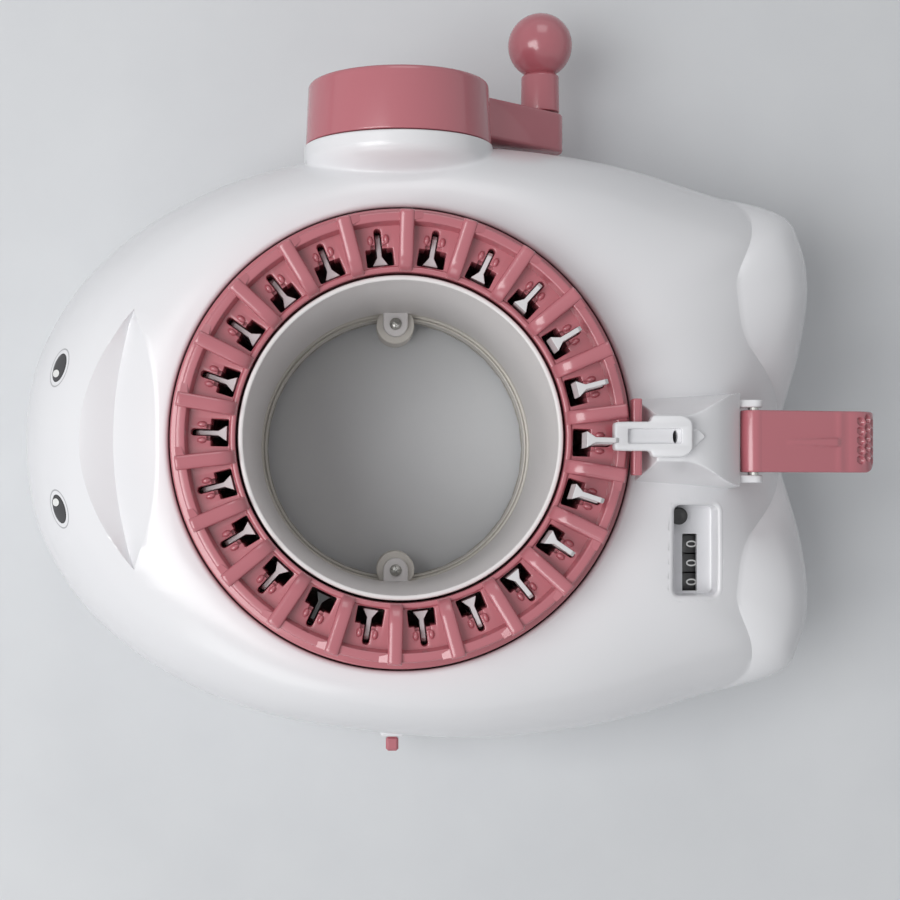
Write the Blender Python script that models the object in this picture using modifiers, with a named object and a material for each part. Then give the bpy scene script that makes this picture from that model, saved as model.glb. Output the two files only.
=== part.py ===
"""Circular knitting machine for small tubes of fabric: 22 hooked needles in a turning ring.

The body is whale-shaped, head at -X and tail flukes at +X, with the crank on the +Y side.
Lengths are in metres and +Z is up. The ring turns about the Z axis of the root empty.
"""
import math

import bmesh
import bpy
from mathutils import Matrix, Vector

MM = 0.001
FULL_TURN = 2 * math.pi

# Clearances between pieces
GAP = 0.3 * MM
RUNNING_GAP = 0.4 * MM
OVERRUN = 2.0 * MM
MERGE = 0.00001

# Main heights
FOOT_HEIGHT = 2.7 * MM
PLATE_THICKNESS = 2.4 * MM
PARTING_Z = 38.0 * MM
DECK_Z = 94.5 * MM
CROWN_RISE = 15.5 * MM
PLATE_TOP_Z = FOOT_HEIGHT + GAP + PLATE_THICKNESS
BODY_BOTTOM_Z = PLATE_TOP_Z + GAP
RING_TOP_Z = DECK_Z + CROWN_RISE

# Needle cylinder, its radii stepped in and out from the outer ends of the ribs
NEEDLES = 22
NEEDLE_PITCH = FULL_TURN / NEEDLES
RING_PHASE = math.radians(-1.6)
MARKER_INDEX = 15
RING_STEPS = 2 * NEEDLES
RIB_OUTER_RADIUS = 61.8 * MM
RIB_LENGTH = 15.5 * MM
RIB_WIDTH = 4.1 * MM
RIB_FALL = 1.6 * MM
RIB_ARC_STEPS = 3
RIM_SETBACK = 0.5 * MM
RIM_DROP = 1.6 * MM
SKIRT_FLARE = 3.0 * MM
SKIRT_PROUD = 0.5 * MM
SKIRT_HEIGHT = 5.0 * MM
SKIRT_WALL = 2.2 * MM
OUTER_FLANGE_SETBACK = 3.3 * MM
CELL_DEPTH = 6.0 * MM
FLOOR_THICKNESS = 3.0 * MM
INNER_FLANGE_WIDTH = 0.6 * MM
INNER_FLANGE_DROP = 5.2 * MM
INNER_FLANGE_DEPTH = 11.0 * MM
BORE_LIP = 1.6 * MM
WALL_SETBACK = 4.8 * MM
WALL_THICKNESS = 4.6 * MM
WALL_FOOT_HEIGHT = 6.0 * MM
CELL_SETBACK = 4.3 * MM
CELL_NARROW_LENGTH = 5.5 * MM
CELL_WIDE_LENGTH = 5.0 * MM
CELL_WIDTH = 7.5 * MM
SLOT_WIDTH = 1.9 * MM
RIB_INNER_RADIUS = RIB_OUTER_RADIUS - RIB_LENGTH
RIM_RADIUS = RIB_OUTER_RADIUS - RIM_SETBACK
SKIRT_RADIUS = RIM_RADIUS + SKIRT_FLARE
SKIRT_TOP_Z = DECK_Z + SKIRT_PROUD
SKIRT_BOTTOM_Z = SKIRT_TOP_Z - SKIRT_HEIGHT
OUTER_FLANGE_RADIUS = RIB_OUTER_RADIUS - OUTER_FLANGE_SETBACK
FLOOR_Z = RING_TOP_Z - CELL_DEPTH
INNER_FLANGE_RADIUS = RIB_INNER_RADIUS + INNER_FLANGE_WIDTH
RING_BORE = INNER_FLANGE_RADIUS - BORE_LIP
WALL_OUTER_RADIUS = RIB_OUTER_RADIUS - WALL_SETBACK
WALL_INNER_RADIUS = WALL_OUTER_RADIUS - WALL_THICKNESS
CELL_OUTER_RADIUS = RIB_OUTER_RADIUS - CELL_SETBACK
CELL_STEP_RADIUS = CELL_OUTER_RADIUS - CELL_NARROW_LENGTH
CELL_INNER_RADIUS = CELL_STEP_RADIUS - CELL_WIDE_LENGTH

# Needles
NEEDLE_DROP = 10.0 * MM
NEEDLE_LIFT = 29.0 * MM
NEEDLE_LENGTH = 58.0 * MM
NEEDLE_THICKNESS = 1.3 * MM
NEEDLE_SETBACK = 0.6 * MM
NEEDLE_DEPTH = 8.5 * MM
NEEDLE_STEM = 3.6 * MM
HOOK_OPENING = 5.5 * MM
HOOK_THICKNESS = 1.9 * MM
HOOK_TIP_DROP = 4.6 * MM
HOOK_TIP_WIDTH = 1.5 * MM
HOOK_MOUTH = 9.0 * MM
HOOK_CHEEK = 3.0 * MM
FAN_WIDTH = 4.3 * MM
BUTT_REACH = 2.1 * MM
BUTT_HEIGHT = 4.0 * MM
BUTT_FROM_BOTTOM = 2.0 * MM
NEEDLE_LOW_Z = RING_TOP_Z - NEEDLE_DROP
NEEDLE_FRONT_RADIUS = WALL_OUTER_RADIUS - NEEDLE_SETBACK
NEEDLE_BACK_RADIUS = NEEDLE_FRONT_RADIUS - NEEDLE_DEPTH
NEEDLE_STEM_RADIUS = NEEDLE_FRONT_RADIUS - NEEDLE_STEM
NEEDLE_THROAT_RADIUS = NEEDLE_FRONT_RADIUS - HOOK_OPENING
WALL_BOTTOM_Z = NEEDLE_LOW_Z - NEEDLE_LENGTH - OVERRUN - WALL_FOOT_HEIGHT

# Cam ring under the needles
CAM_HALF_ANGLE = 6 * NEEDLE_PITCH
CAM_STEPS = 32
CAM_SETBACK = 1.9 * MM
CAM_WALL = 2.5 * MM
LEDGE_THICKNESS = 2.7 * MM
LEDGE_OVERLAP = 0.8 * MM
CAM_INNER_RADIUS = WALL_OUTER_RADIUS + CAM_SETBACK
LEDGE_INNER_RADIUS = WALL_INNER_RADIUS - LEDGE_OVERLAP

# Crown gear and pinion, whose sizes follow from where they mesh
CROWN_TEETH = 60
PINION_TEETH = 12
TOOTH_REACH = 1.6 * MM
TOOTH_CLEARANCE = 0.5 * MM
TOOTH_BACKLASH = 0.45 * MM
PRESSURE_ANGLE = math.radians(25)
INVOLUTE_STEPS = 1
FACE_SETBACK = 2.2 * MM
FACE_WIDTH = 4.2 * MM
MESH_SETBACK = 1.8 * MM
MESH_DROP = 6.3 * MM
CROWN_SETBACK = 0.5 * MM
PINION_HUB_RADIUS = 6.0 * MM
PINION_HUB_LENGTH = 2.8 * MM
FACE_INNER_RADIUS = WALL_OUTER_RADIUS + FACE_SETBACK
CROWN_RADIUS = SKIRT_RADIUS - CROWN_SETBACK
PINION_RADIUS = (FACE_INNER_RADIUS + MESH_SETBACK) * PINION_TEETH / CROWN_TEETH
PITCH_ARC = FULL_TURN * PINION_RADIUS / PINION_TEETH
PITCH_Z = SKIRT_BOTTOM_Z - MESH_DROP
CRANK_Z = PITCH_Z - PINION_RADIUS

# Inner tube and base ring
TUBE_SETBACK = 0.7 * MM
TUBE_WALL = 1.4 * MM
TUBE_DROP = 6.5 * MM
TUBE_BOTTOM_Z = 20.0 * MM
TUBE_STEPS = 32
LUG_INSET = 5.1 * MM
LUG_WIDTH = 8.0 * MM
LUG_THICKNESS = 2.6 * MM
BASE_INSET = 2.6 * MM
BASE_OUTSET = 2.4 * MM
BASE_LEDGE = 1.3 * MM
BASE_LEDGE_HEIGHT = 9.0 * MM
POST_RADIUS = 6.1 * MM
TUBE_RADIUS = RING_BORE - TUBE_SETBACK
TUBE_TOP_Z = RING_TOP_Z - TUBE_DROP
LUG_REACH = TUBE_RADIUS - LUG_INSET
BASE_BORE = TUBE_RADIUS - BASE_INSET
BASE_RING_RADIUS = TUBE_RADIUS + BASE_OUTSET

# Screws
SCREW_HEAD_RADIUS = 2.2 * MM
SCREW_HEAD_HEIGHT = 1.5 * MM
SCREW_CROWN_SHARE = 0.6
SCREW_SHANK_RADIUS = 1.3 * MM
SCREW_LENGTH = 9.0 * MM
SCREW_STEPS = 8
TUBE_SCREW_HEAD_RADIUS = 1.9 * MM
BASE_SCREW_SETBACK = 5.6 * MM
BASE_SCREWS = 3
BASE_SCREW_RADIUS = CAM_INNER_RADIUS + BASE_SCREW_SETBACK
CAM_POST_RADIUS = 4.0 * MM
CAM_POST_HEIGHT = 18.0 * MM

# Body outline and dome, measured outwards from the opening for the ring
OPENING_GAP = 0.6 * MM
HEAD_LENGTH = 48.2 * MM
TAIL_LENGTH = 57.6 * MM
SIDE_WIDTH = 24.2 * MM
PARTING_STRIP = 3.0 * MM
SHELL_WALL = 2.2 * MM
LIP_DEPTH = 5.0 * MM
LIP_ROUNDING = 1.3 * MM
SKIRT_DRAFT = 1.6 * MM
SKIRT_ROUNDING = 3.0 * MM
PLATE_INSET = 4.2 * MM
OUTLINE_POINTS = 40
OPENING_RADIUS = SKIRT_RADIUS + OPENING_GAP
HEAD_REACH = OPENING_RADIUS + HEAD_LENGTH
TAIL_REACH = OPENING_RADIUS + TAIL_LENGTH
HALF_WIDTH = OPENING_RADIUS + SIDE_WIDTH

# Half outline from the head's tip to the tail's middle, as shares of reach and half width
HEAD_OUTLINE_SHARES = (
    (1.0, 0.0), (0.984, 0.197), (0.943, 0.35), (0.862, 0.519), (0.752, 0.662),
    (0.589, 0.8), (0.371, 0.911), (0.088, 0.974),
)
TAIL_OUTLINE_SHARES = (
    (0.2, 1.0), (0.504, 0.956), (0.75, 0.864), (0.936, 0.775), (0.982, 0.667),
    (1.0, 0.52), (0.986, 0.32), (0.952, 0.0),
)
DOME_SHARES = (0.03, 0.13, 0.3, 0.5, 0.69, 0.957)
DOME_POWER = 2.3
TAIL_FALL = 0.45
TAIL_SPREAD = math.radians(42)
FLUKE_DROP = 12.2 * MM
FLUKE_POWER = 4.0
FLUKE_ANGLE = math.radians(24)
FLUKE_INNER_SPREAD = math.radians(24)
FLUKE_OUTER_SPREAD = math.radians(15)
CRESCENT_DEPTH = 6.0 * MM
CRESCENT_HALF_ANGLE = math.radians(29)
CRESCENT_START_SHARE = 0.5
CRESCENT_RIDGE_SHARE = 0.69
CRESCENT_END_SHARE = 0.957
CRESCENT_TAPER = 0.7

# Gear housing that closes the body behind the crank
HOUSING_RADIUS = 27.5 * MM
HOUSING_SINK = 15.1 * MM
HOUSING_WALL = 2.4 * MM
BUSH_RADIUS = 5.2 * MM
BUSH_FLANGE = 1.2 * MM
BUSH_FLANGE_RADIUS = 7.0 * MM
HOUSING_BOSS_RADIUS = 8.0 * MM
HOUSING_START_Y = HALF_WIDTH - HOUSING_SINK
HOUSING_BOSS_START_Y = (FACE_INNER_RADIUS + FACE_WIDTH + PINION_HUB_LENGTH + BUSH_FLANGE
                        + 2 * GAP)

# Crank
DRUM_RADIUS = 27.1 * MM
DRUM_SETBACK = 3.1 * MM
DRUM_LENGTH = 18.0 * MM
DRUM_DRAFT = 0.8 * MM
DRUM_ROUNDING = 1.4 * MM
DRUM_DISH = 3.0 * MM
DRUM_DISH_RADIUS = 20.0 * MM
ARM_OUTSET = 5.2 * MM
CRANK_ARM_THICKNESS = 12.0 * MM
CRANK_RADIUS = 57.0 * MM
CRANK_ANGLE = math.radians(-38)
ARM_ROOT_HALF = 11.0 * MM
ARM_END_RADIUS = 7.0 * MM
CRANK_STEPS = 28
PIN_STEPS = 14
BALL_STEPS = 6
SHAFT_RADIUS = 3.0 * MM
SHAFT_SHORT = 5.0 * MM
CAP_RADIUS = 5.0 * MM
CAP_HEIGHT = 1.6 * MM
KNOB_STEM_RADIUS = 6.0 * MM
KNOB_STEM_LENGTH = 12.0 * MM
KNOB_BALL_RADIUS = 10.0 * MM
KNOB_BALL_OUTSET = 21.8 * MM
KNOB_GROOVE = 1.0 * MM
KNOB_PIN_RADIUS = 2.0 * MM
KNOB_PIN_LENGTH = 18.0 * MM
DRUM_START_Y = HALF_WIDTH - DRUM_SETBACK
DRUM_END_Y = DRUM_START_Y + DRUM_LENGTH
ARM_START_Y = DRUM_START_Y + ARM_OUTSET
ARM_END_Y = ARM_START_Y + CRANK_ARM_THICKNESS
SHAFT_END_Y = DRUM_END_Y - SHAFT_SHORT
KNOB_BALL_Y = ARM_END_Y + KNOB_BALL_OUTSET

# Feeder bracket, feeder, guard and tension arm
BRACKET_SETBACK = 0.4 * MM
BRACKET_LENGTH = 28.4 * MM
BRACKET_SINK = 20.0 * MM
BRACKET_HALF_WIDTH = 13.0 * MM
BRACKET_PROUD = 2.0 * MM
BRACKET_FLAT = 13.5 * MM
BRACKET_TAIL_RISE = 2.5 * MM
BRACKET_BEVEL = 1.4 * MM
SADDLE_RADIUS = 30.0 * MM
SADDLE_DEPTH = 2.2 * MM
FEEDER_OVERHANG = 8.4 * MM
FEEDER_NOSE_LENGTH = 3.7 * MM
FEEDER_NOSE_WIDTH = 7.0 * MM
FEEDER_NECK_WIDTH = 5.6 * MM
FEEDER_HEAD_SETBACK = 1.3 * MM
FEEDER_HEAD_LENGTH = 11.3 * MM
FEEDER_HEAD_WIDTH = 11.2 * MM
FEEDER_THICKNESS = 4.4 * MM
CHANNEL_WIDTH = 3.4 * MM
CHANNEL_DEPTH = 2.4 * MM
YARN_HOLE_SETBACK = 5.1 * MM
YARN_HOLE_LENGTH = 3.5 * MM
YARN_HOLE_WIDTH = 1.1 * MM
GUARD_THICKNESS = 2.4 * MM
GUARD_HALF_WIDTH = 10.4 * MM
GUARD_DROP = 5.2 * MM
ARM_PIVOT_SETBACK = 4.5 * MM
ARM_PIVOT_RISE = 1.5 * MM
ARM_OFFSET_Y = -0.75 * MM
ARM_WIDTH = 17.2 * MM
ARM_THICKNESS = 2.6 * MM
ARM_LENGTH = 36.5 * MM
ARM_DROP = 3.0 * MM
ARM_TIP_TURN = math.radians(15)
ARM_BEND = 9.0 * MM
KNUCKLE_RADIUS = 3.6 * MM
ARM_PIN_RADIUS = 1.5 * MM
EAR_THICKNESS = 2.4 * MM
EAR_RADIUS = 4.2 * MM
EAR_SWEEP = math.radians(108)
ARM_RIB_HEIGHT = 1.2 * MM
ARM_RIB_WIDTH = 2.0 * MM
ARM_RIB_LENGTH = 12.0 * MM
BRACKET_START_X = OPENING_RADIUS + BRACKET_SETBACK
BRACKET_END_X = BRACKET_START_X + BRACKET_LENGTH
BRACKET_TOP_Z = RING_TOP_Z + BRACKET_PROUD
BRACKET_TAIL_Z = DECK_Z + BRACKET_TAIL_RISE
FEEDER_NOSE_X = BRACKET_START_X - FEEDER_OVERHANG
FEEDER_HEAD_X = BRACKET_START_X + FEEDER_HEAD_SETBACK
FEEDER_END_X = FEEDER_HEAD_X + FEEDER_HEAD_LENGTH
FEEDER_BOTTOM_Z = RING_TOP_Z + 2 * GAP
YARN_HOLE_X = FEEDER_END_X - YARN_HOLE_SETBACK
GUARD_BOTTOM_Z = RING_TOP_Z - GUARD_DROP
ARM_PIVOT_X = BRACKET_END_X + ARM_PIVOT_SETBACK
ARM_PIVOT_Z = DECK_Z + ARM_PIVOT_RISE

# Row counter
COUNTER_SETBACK = 18.2 * MM
COUNTER_Y = -31.2 * MM
COUNTER_WINDOW_X = 13.2 * MM
COUNTER_WINDOW_Y = 25.4 * MM
COUNTER_RIM = 1.6 * MM
COUNTER_CORNER = 1.6 * MM
COUNTER_DROP = 15.5 * MM
COUNTER_FLOOR = 2.0 * MM
COUNTER_DEPTH = 16.5 * MM
AXLE_SEAT = 1.0 * MM
WHEELS = 3
WHEEL_PITCH = 5.5 * MM
WHEEL_RADIUS = 6.6 * MM
WHEEL_OFFSET_X = 0.2 * MM
WHEEL_OFFSET_Y = -4.0 * MM
WHEEL_FLATS = 20
DIGIT_WINDOW_X = 4.2 * MM
AXLE_RADIUS = 1.2 * MM
BUTTON_OFFSET_X = -3.5 * MM
BUTTON_OFFSET_Y = 9.6 * MM
BUTTON_RADIUS = 2.5 * MM
BUTTON_HEIGHT = 2.2 * MM
BUTTON_CHAMFER = 0.4 * MM
BUTTON_STEM = 6.0 * MM
BUTTON_STEM_RADIUS = 1.4 * MM
BUTTON_TRAVEL = 1.3 * MM
COUNTER_X = BRACKET_START_X + COUNTER_SETBACK
COUNTER_FLOOR_Z = DECK_Z - COUNTER_DROP
WHEEL_X = COUNTER_X + WHEEL_OFFSET_X
WHEEL_MIDDLE_Y = COUNTER_Y + WHEEL_OFFSET_Y
BUTTON_X = COUNTER_X + BUTTON_OFFSET_X
BUTTON_Y = COUNTER_Y + BUTTON_OFFSET_Y

# Mode switch on the near side
SWITCH_X = -1.2 * MM
SWITCH_Z = 24.0 * MM
SWITCH_PLATE_X = 7.6 * MM
SWITCH_PLATE_Z = 16.0 * MM
SWITCH_PLATE_DEPTH = 5.0 * MM
SWITCH_PLATE_PROUD = 2.6 * MM
SWITCH_TRAVEL = 6.0 * MM
SWITCH_KNOB_X = 4.0 * MM
SWITCH_KNOB_Z = 5.0 * MM
SWITCH_KNOB_REACH = 4.5 * MM
SWITCH_STEM = 2.4 * MM
SWITCH_BEVEL = 0.7 * MM

# Feet
FOOT_RADIUS = 9.0 * MM
FOOT_FLARE = 1.5 * MM
FOOT_X = 68.0 * MM
FOOT_Y = 50.0 * MM


for old in list(bpy.data.objects):
    bpy.data.objects.remove(old, do_unlink=True)

parts = bpy.data.collections.new("knitting_machine")
cutters = bpy.data.collections.new("cutters")
for collection in (parts, cutters):
    bpy.context.scene.collection.children.link(collection)
cutters.hide_render = True


def make_material(name, colour, roughness, metallic=0.0):
    made = bpy.data.materials.new(name)
    made.use_nodes = True
    shader = made.node_tree.nodes["Principled BSDF"]
    shader.inputs["Base Color"].default_value = (*colour, 1.0)
    shader.inputs["Roughness"].default_value = roughness
    shader.inputs["Metallic"].default_value = metallic
    made.diffuse_color = (*colour, 1.0)
    return made


WHITE = make_material("white_abs", (0.80, 0.80, 0.81), 0.35)
PINK = make_material("pink_abs", (0.52, 0.17, 0.20), 0.38)
GREY = make_material("grey_abs", (0.52, 0.50, 0.46), 0.5)
NATURAL = make_material("natural_acetal", (0.78, 0.76, 0.70), 0.45)
BLACK = make_material("black_abs", (0.012, 0.012, 0.013), 0.4)
STEEL = make_material("zinc_steel", (0.62, 0.62, 0.60), 0.3, 1.0)
RUBBER = make_material("dark_rubber", (0.03, 0.03, 0.03), 0.85)


def empty(name, location, parent=None):
    """An axis marker that moving pieces hang from."""
    marker = bpy.data.objects.new(name, None)
    marker.location = location
    marker.parent = parent
    parts.objects.link(marker)
    return marker


def add_object(name, mesh, material=None, home=parts):
    made = bpy.data.objects.new(name, mesh)
    home.objects.link(made)
    if material:
        mesh.materials.clear()
        mesh.materials.append(material)
    if home is cutters:
        made.hide_render = True
        made.display_type = "WIRE"
    return made


def mesh_from(name, build):
    """Mesh made by the function `build`, which fills an empty bmesh."""
    made = bmesh.new()
    build(made)
    bmesh.ops.recalc_face_normals(made, faces=made.faces)
    mesh = bpy.data.meshes.new(name)
    made.to_mesh(mesh)
    made.free()
    return mesh


def evaluated_mesh(source, transform=True):
    """The finished mesh of an object, in world space if `transform` is set."""
    bpy.context.view_layer.update()
    graph = bpy.context.evaluated_depsgraph_get()
    mesh = bpy.data.meshes.new_from_object(source.evaluated_get(graph))
    if transform:
        mesh.transform(source.matrix_world)
    return mesh


def merged(name, sources, material=None, home=cutters):
    """One object that holds the finished meshes of several, which are removed."""
    joined = bmesh.new()
    for source in sources:
        mesh = evaluated_mesh(source)
        joined.from_mesh(mesh)
        bpy.data.meshes.remove(mesh)
        bpy.data.objects.remove(source, do_unlink=True)
    mesh = bpy.data.meshes.new(name)
    joined.to_mesh(mesh)
    joined.free()
    return add_object(name, mesh, material, home)


def boolean(target, tool, operation="DIFFERENCE"):
    """Cut with, or join on, another object, which becomes a hidden cutter."""
    step = target.modifiers.new(operation.lower(), "BOOLEAN")
    step.operation = operation
    step.object = tool
    if tool.name not in cutters.objects:
        for holder in list(tool.users_collection):
            holder.objects.unlink(tool)
        cutters.objects.link(tool)
    tool.hide_render = True
    tool.display_type = "WIRE"
    return target


def lathe(name, profile, steps, material=None, home=parts):
    """Turned solid about local Z. The closed profile runs down its outer side."""
    mesh = bpy.data.meshes.new(name)
    count = len(profile)
    edges = [(i, (i + 1) % count) for i in range(count)]
    if min(radius for radius, _ in profile) == 0:
        edges.pop()
    mesh.from_pydata([(radius, 0, height) for radius, height in profile], edges, [])
    turned = add_object(name, mesh, material, home)
    screw = turned.modifiers.new("turn", "SCREW")
    screw.steps = screw.render_steps = steps
    screw.use_merge_vertices = True
    screw.merge_threshold = MERGE
    screw.use_smooth_shade = True
    return turned


def slab(name, outlines, depth, material=None, home=parts):
    """Flat outline in local XY with the given thickness, centred on local Z = 0."""
    curve = bpy.data.curves.new(name, "CURVE")
    curve.dimensions = "2D"
    curve.fill_mode = "BOTH"
    curve.extrude = depth / 2
    for outline in outlines:
        spline = curve.splines.new("POLY")
        spline.points.add(len(outline) - 1)
        for point, (x, y) in zip(spline.points, outline):
            point.co = (x, y, 0, 1)
        spline.use_cyclic_u = True
    drawn = bpy.data.objects.new(name, curve)
    bpy.context.scene.collection.objects.link(drawn)
    mesh = evaluated_mesh(drawn)
    bpy.data.objects.remove(drawn, do_unlink=True)
    welded = bmesh.new()
    welded.from_mesh(mesh)
    bmesh.ops.remove_doubles(welded, verts=welded.verts, dist=MERGE)
    bmesh.ops.recalc_face_normals(welded, faces=welded.faces)
    welded.to_mesh(mesh)
    welded.free()
    return add_object(name, mesh, material, home)


def block(name, low, high, material=None, home=parts):
    """Box between two corners."""
    size = [b - a for a, b in zip(low, high)]
    middle = Vector([(a + b) / 2 for a, b in zip(low, high)])

    def build(made):
        bmesh.ops.create_cube(made, size=1.0)
        bmesh.ops.scale(made, vec=size, verts=made.verts)

    made = add_object(name, mesh_from(name, build), material, home)
    made.location = middle
    return made


def rod(name, radius, length, steps, material=None, home=parts, top_radius=None):
    """Cylinder or cone standing on local Z = 0."""
    def build(made):
        bmesh.ops.create_cone(
            made, cap_ends=True, segments=steps, radius1=radius,
            radius2=radius if top_radius is None else top_radius, depth=length)
        bmesh.ops.translate(made, vec=(0, 0, length / 2), verts=made.verts)

    return add_object(name, mesh_from(name, build), material, home)


def loft(name, sections, closed_round, material=None, home=parts):
    """Paired triangles between successive sections of equal point counts."""
    count = len(sections[0])
    points = [point for section in sections for point in section]
    faces = []
    spans = len(sections) if closed_round else len(sections) - 1
    for row in range(spans):
        first = row * count
        after = ((row + 1) % len(sections)) * count
        for i in range(count):
            j = (i + 1) % count
            faces.append((first + i, first + j, after + j))
            faces.append((first + i, after + j, after + i))
    mesh = bpy.data.meshes.new(name)
    mesh.from_pydata(points, [], faces)
    return add_object(name, mesh, material, home)


def bevel(target, width, segments=1, angle=math.radians(40)):
    step = target.modifiers.new("rounding", "BEVEL")
    step.width = width
    step.segments = segments
    step.limit_method = "ANGLE"
    step.angle_limit = angle
    step.harden_normals = False
    return target


def smooth(target, angle=math.radians(35)):
    """Smooth shading with sharp creases kept."""
    if target.data.polygons:
        target.data.shade_smooth()
        target.data.set_sharp_from_angle(angle=angle)
    return target


def place(target, location=(0, 0, 0), rotation=(0, 0, 0), parent=None):
    target.location = location
    target.rotation_euler = rotation
    target.parent = parent
    return target


def arc(centre, radius, start, end, steps):
    """Points along an arc, both ends included."""
    x, y = centre
    turn = [start + (end - start) * i / steps for i in range(steps + 1)]
    return [(x + radius * math.cos(a), y + radius * math.sin(a)) for a in turn]


def rounded_box(width, height, corner, steps=2):
    """Rounded rectangle outline centred on the origin."""
    points = []
    for quarter, (sx, sy) in enumerate(((1, 1), (-1, 1), (-1, -1), (1, -1))):
        centre = (sx * (width / 2 - corner), sy * (height / 2 - corner))
        start = quarter * math.pi / 2
        points += arc(centre, corner, start, start + math.pi / 2, steps)
    return points


def polar(radius, angle, height=0.0):
    return Vector((radius * math.cos(angle), radius * math.sin(angle), height))


ALONG_Y = (-math.pi / 2, 0, 0)
UPRIGHT_XZ = (math.pi / 2, 0, 0)


# Body form

def smooth_loop(points, count):
    """Closed smooth curve through points, at `count` even steps of its parameter."""
    made = []
    for step in range(count):
        span, t = divmod(step * len(points) / count, 1)
        p0, p1, p2, p3 = (Vector(points[(int(span) + k) % len(points)]) for k in (-1, 0, 1, 2))
        made.append(0.5 * (
            2 * p1 + (p2 - p0) * t + (2 * p0 - 5 * p1 + 4 * p2 - p3) * t ** 2
            + (3 * p1 - p0 - 3 * p2 + p3) * t ** 3))
    return made


def body_outline():
    """The whale's outline at the parting line, anticlockwise from the head's tip."""
    half = [(-HEAD_REACH * along, HALF_WIDTH * across) for along, across in HEAD_OUTLINE_SHARES]
    half += [(TAIL_REACH * along, HALF_WIDTH * across) for along, across in TAIL_OUTLINE_SHARES]
    near = [(x, -y) for x, y in half]
    far = [(x, y) for x, y in half[-2:0:-1]]
    return smooth_loop(near + far, OUTLINE_POINTS)


def offset_outline(points, distance):
    """Outline moved inwards by an even distance."""
    moved = []
    count = len(points)
    for i, point in enumerate(points):
        before = (point - points[i - 1]).normalized()
        after = (points[(i + 1) % count] - point).normalized()
        inward = Vector((-before.y - after.y, before.x + after.x)).normalized()
        lean = inward.dot(Vector((-after.y, after.x)))
        moved.append(point + inward * distance / lean)
    return moved


def bell(turn, spread):
    """1 at no turn, falling smoothly to 0 on both sides."""
    return math.exp(-(turn / spread) ** 2)


def dome_rise(share, power):
    """Power curve from 0 at the outline to 1 at the opening."""
    return (1 - (1 - share) ** power) ** (1 / power)


def crescent_dip(angle, share):
    """Depth of the step on the head between the dome and the collar."""
    turn = abs((angle % FULL_TURN) - math.pi) / CRESCENT_HALF_ANGLE
    if turn >= 1 or not CRESCENT_START_SHARE < share < CRESCENT_END_SHARE:
        return 0
    if share <= CRESCENT_RIDGE_SHARE:
        rise = (share - CRESCENT_START_SHARE) / (CRESCENT_RIDGE_SHARE - CRESCENT_START_SHARE)
    else:
        rise = (CRESCENT_END_SHARE - share) / (CRESCENT_END_SHARE - CRESCENT_RIDGE_SHARE)
    return CRESCENT_DEPTH * math.cos(turn * math.pi / 2) ** CRESCENT_TAPER * rise


def dome_height(angle, share):
    """The higher of the dome and the flukes' flat leaves, less the step on the head."""
    start = PARTING_Z + PARTING_STRIP
    dome = (DECK_Z - start) * dome_rise(share, DOME_POWER - TAIL_FALL * bell(angle, TAIL_SPREAD))
    off = abs(angle) - FLUKE_ANGLE
    spread = FLUKE_INNER_SPREAD if off < 0 else FLUKE_OUTER_SPREAD
    leaf = (DECK_Z - FLUKE_DROP - start) * dome_rise(share, FLUKE_POWER) * bell(off, spread)
    return start + max(dome, leaf) - crescent_dip(angle, share)


def opening_corner(angles):
    """Radius of the opening's corners at which its flat sides clear the turning ring."""
    widest = max((after - before) % FULL_TURN
                 for before, after in zip(angles, angles[1:] + angles[:1]))
    return OPENING_RADIUS / math.cos(widest / 2)


def shell_sections(lift=0.0):
    """Outer surface of the upper shell from the parting line to the opening's lip."""
    outline = body_outline()
    angles = [math.atan2(point.y, point.x) for point in outline]
    sections = [
        [Vector((p.x, p.y, PARTING_Z)) for p in outline],
        [Vector((p.x, p.y, PARTING_Z + PARTING_STRIP)) for p in outline],
    ]
    collar = opening_corner(angles) + LIP_ROUNDING
    for share in DOME_SHARES:
        ring = []
        for point, angle in zip(outline, angles):
            spot = point.lerp(polar(collar, angle).to_2d(), share)
            ring.append(Vector((spot.x, spot.y, dome_height(angle, share) + lift)))
        sections.append(ring)
    return sections, angles


def upper_shell():
    sections, angles = shell_sections()
    lip = LIP_ROUNDING * math.sqrt(0.5)
    corner = opening_corner(angles)
    sections.append([polar(corner, a, DECK_Z - lip) for a in angles])
    sections.append([polar(corner, a, DECK_Z - LIP_DEPTH) for a in angles])
    shell = loft("upper_shell", sections, False, WHITE)
    wall = shell.modifiers.new("wall", "SOLIDIFY")
    wall.thickness = SHELL_WALL
    wall.offset = -1
    wall.use_even_offset = True
    hole = rod("housing_hole", HOUSING_RADIUS + RUNNING_GAP, HALF_WIDTH, CRANK_STEPS, home=cutters)
    place(hole, (0, HOUSING_START_Y - GAP, CRANK_Z), ALONG_Y)
    boolean(shell, hole)
    width = COUNTER_WINDOW_X + 2 * COUNTER_RIM + 2 * GAP
    length = COUNTER_WINDOW_Y + 2 * COUNTER_RIM + 2 * GAP
    corner = COUNTER_CORNER + COUNTER_RIM + GAP
    window = slab("counter_hole", [rounded_box(width, length, corner)], DECK_Z, home=cutters)
    place(window, (COUNTER_X, COUNTER_Y, DECK_Z))
    boolean(shell, window)
    return smooth(shell)


def body_form(lift):
    """Closed solid under the raised outer surface, to trim what seats on the body."""
    sections, angles = shell_sections(lift)
    form = loft("body_form", sections, False, home=cutters)
    made = bmesh.new()
    made.from_mesh(form.data)
    made.verts.ensure_lookup_table()
    count = len(angles)
    made.faces.new([made.verts[i] for i in reversed(range(count))])
    top = len(sections) * count - count
    made.faces.new([made.verts[top + i] for i in range(count)])
    bmesh.ops.recalc_face_normals(made, faces=made.faces)
    made.to_mesh(form.data)
    made.free()
    return form


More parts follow.
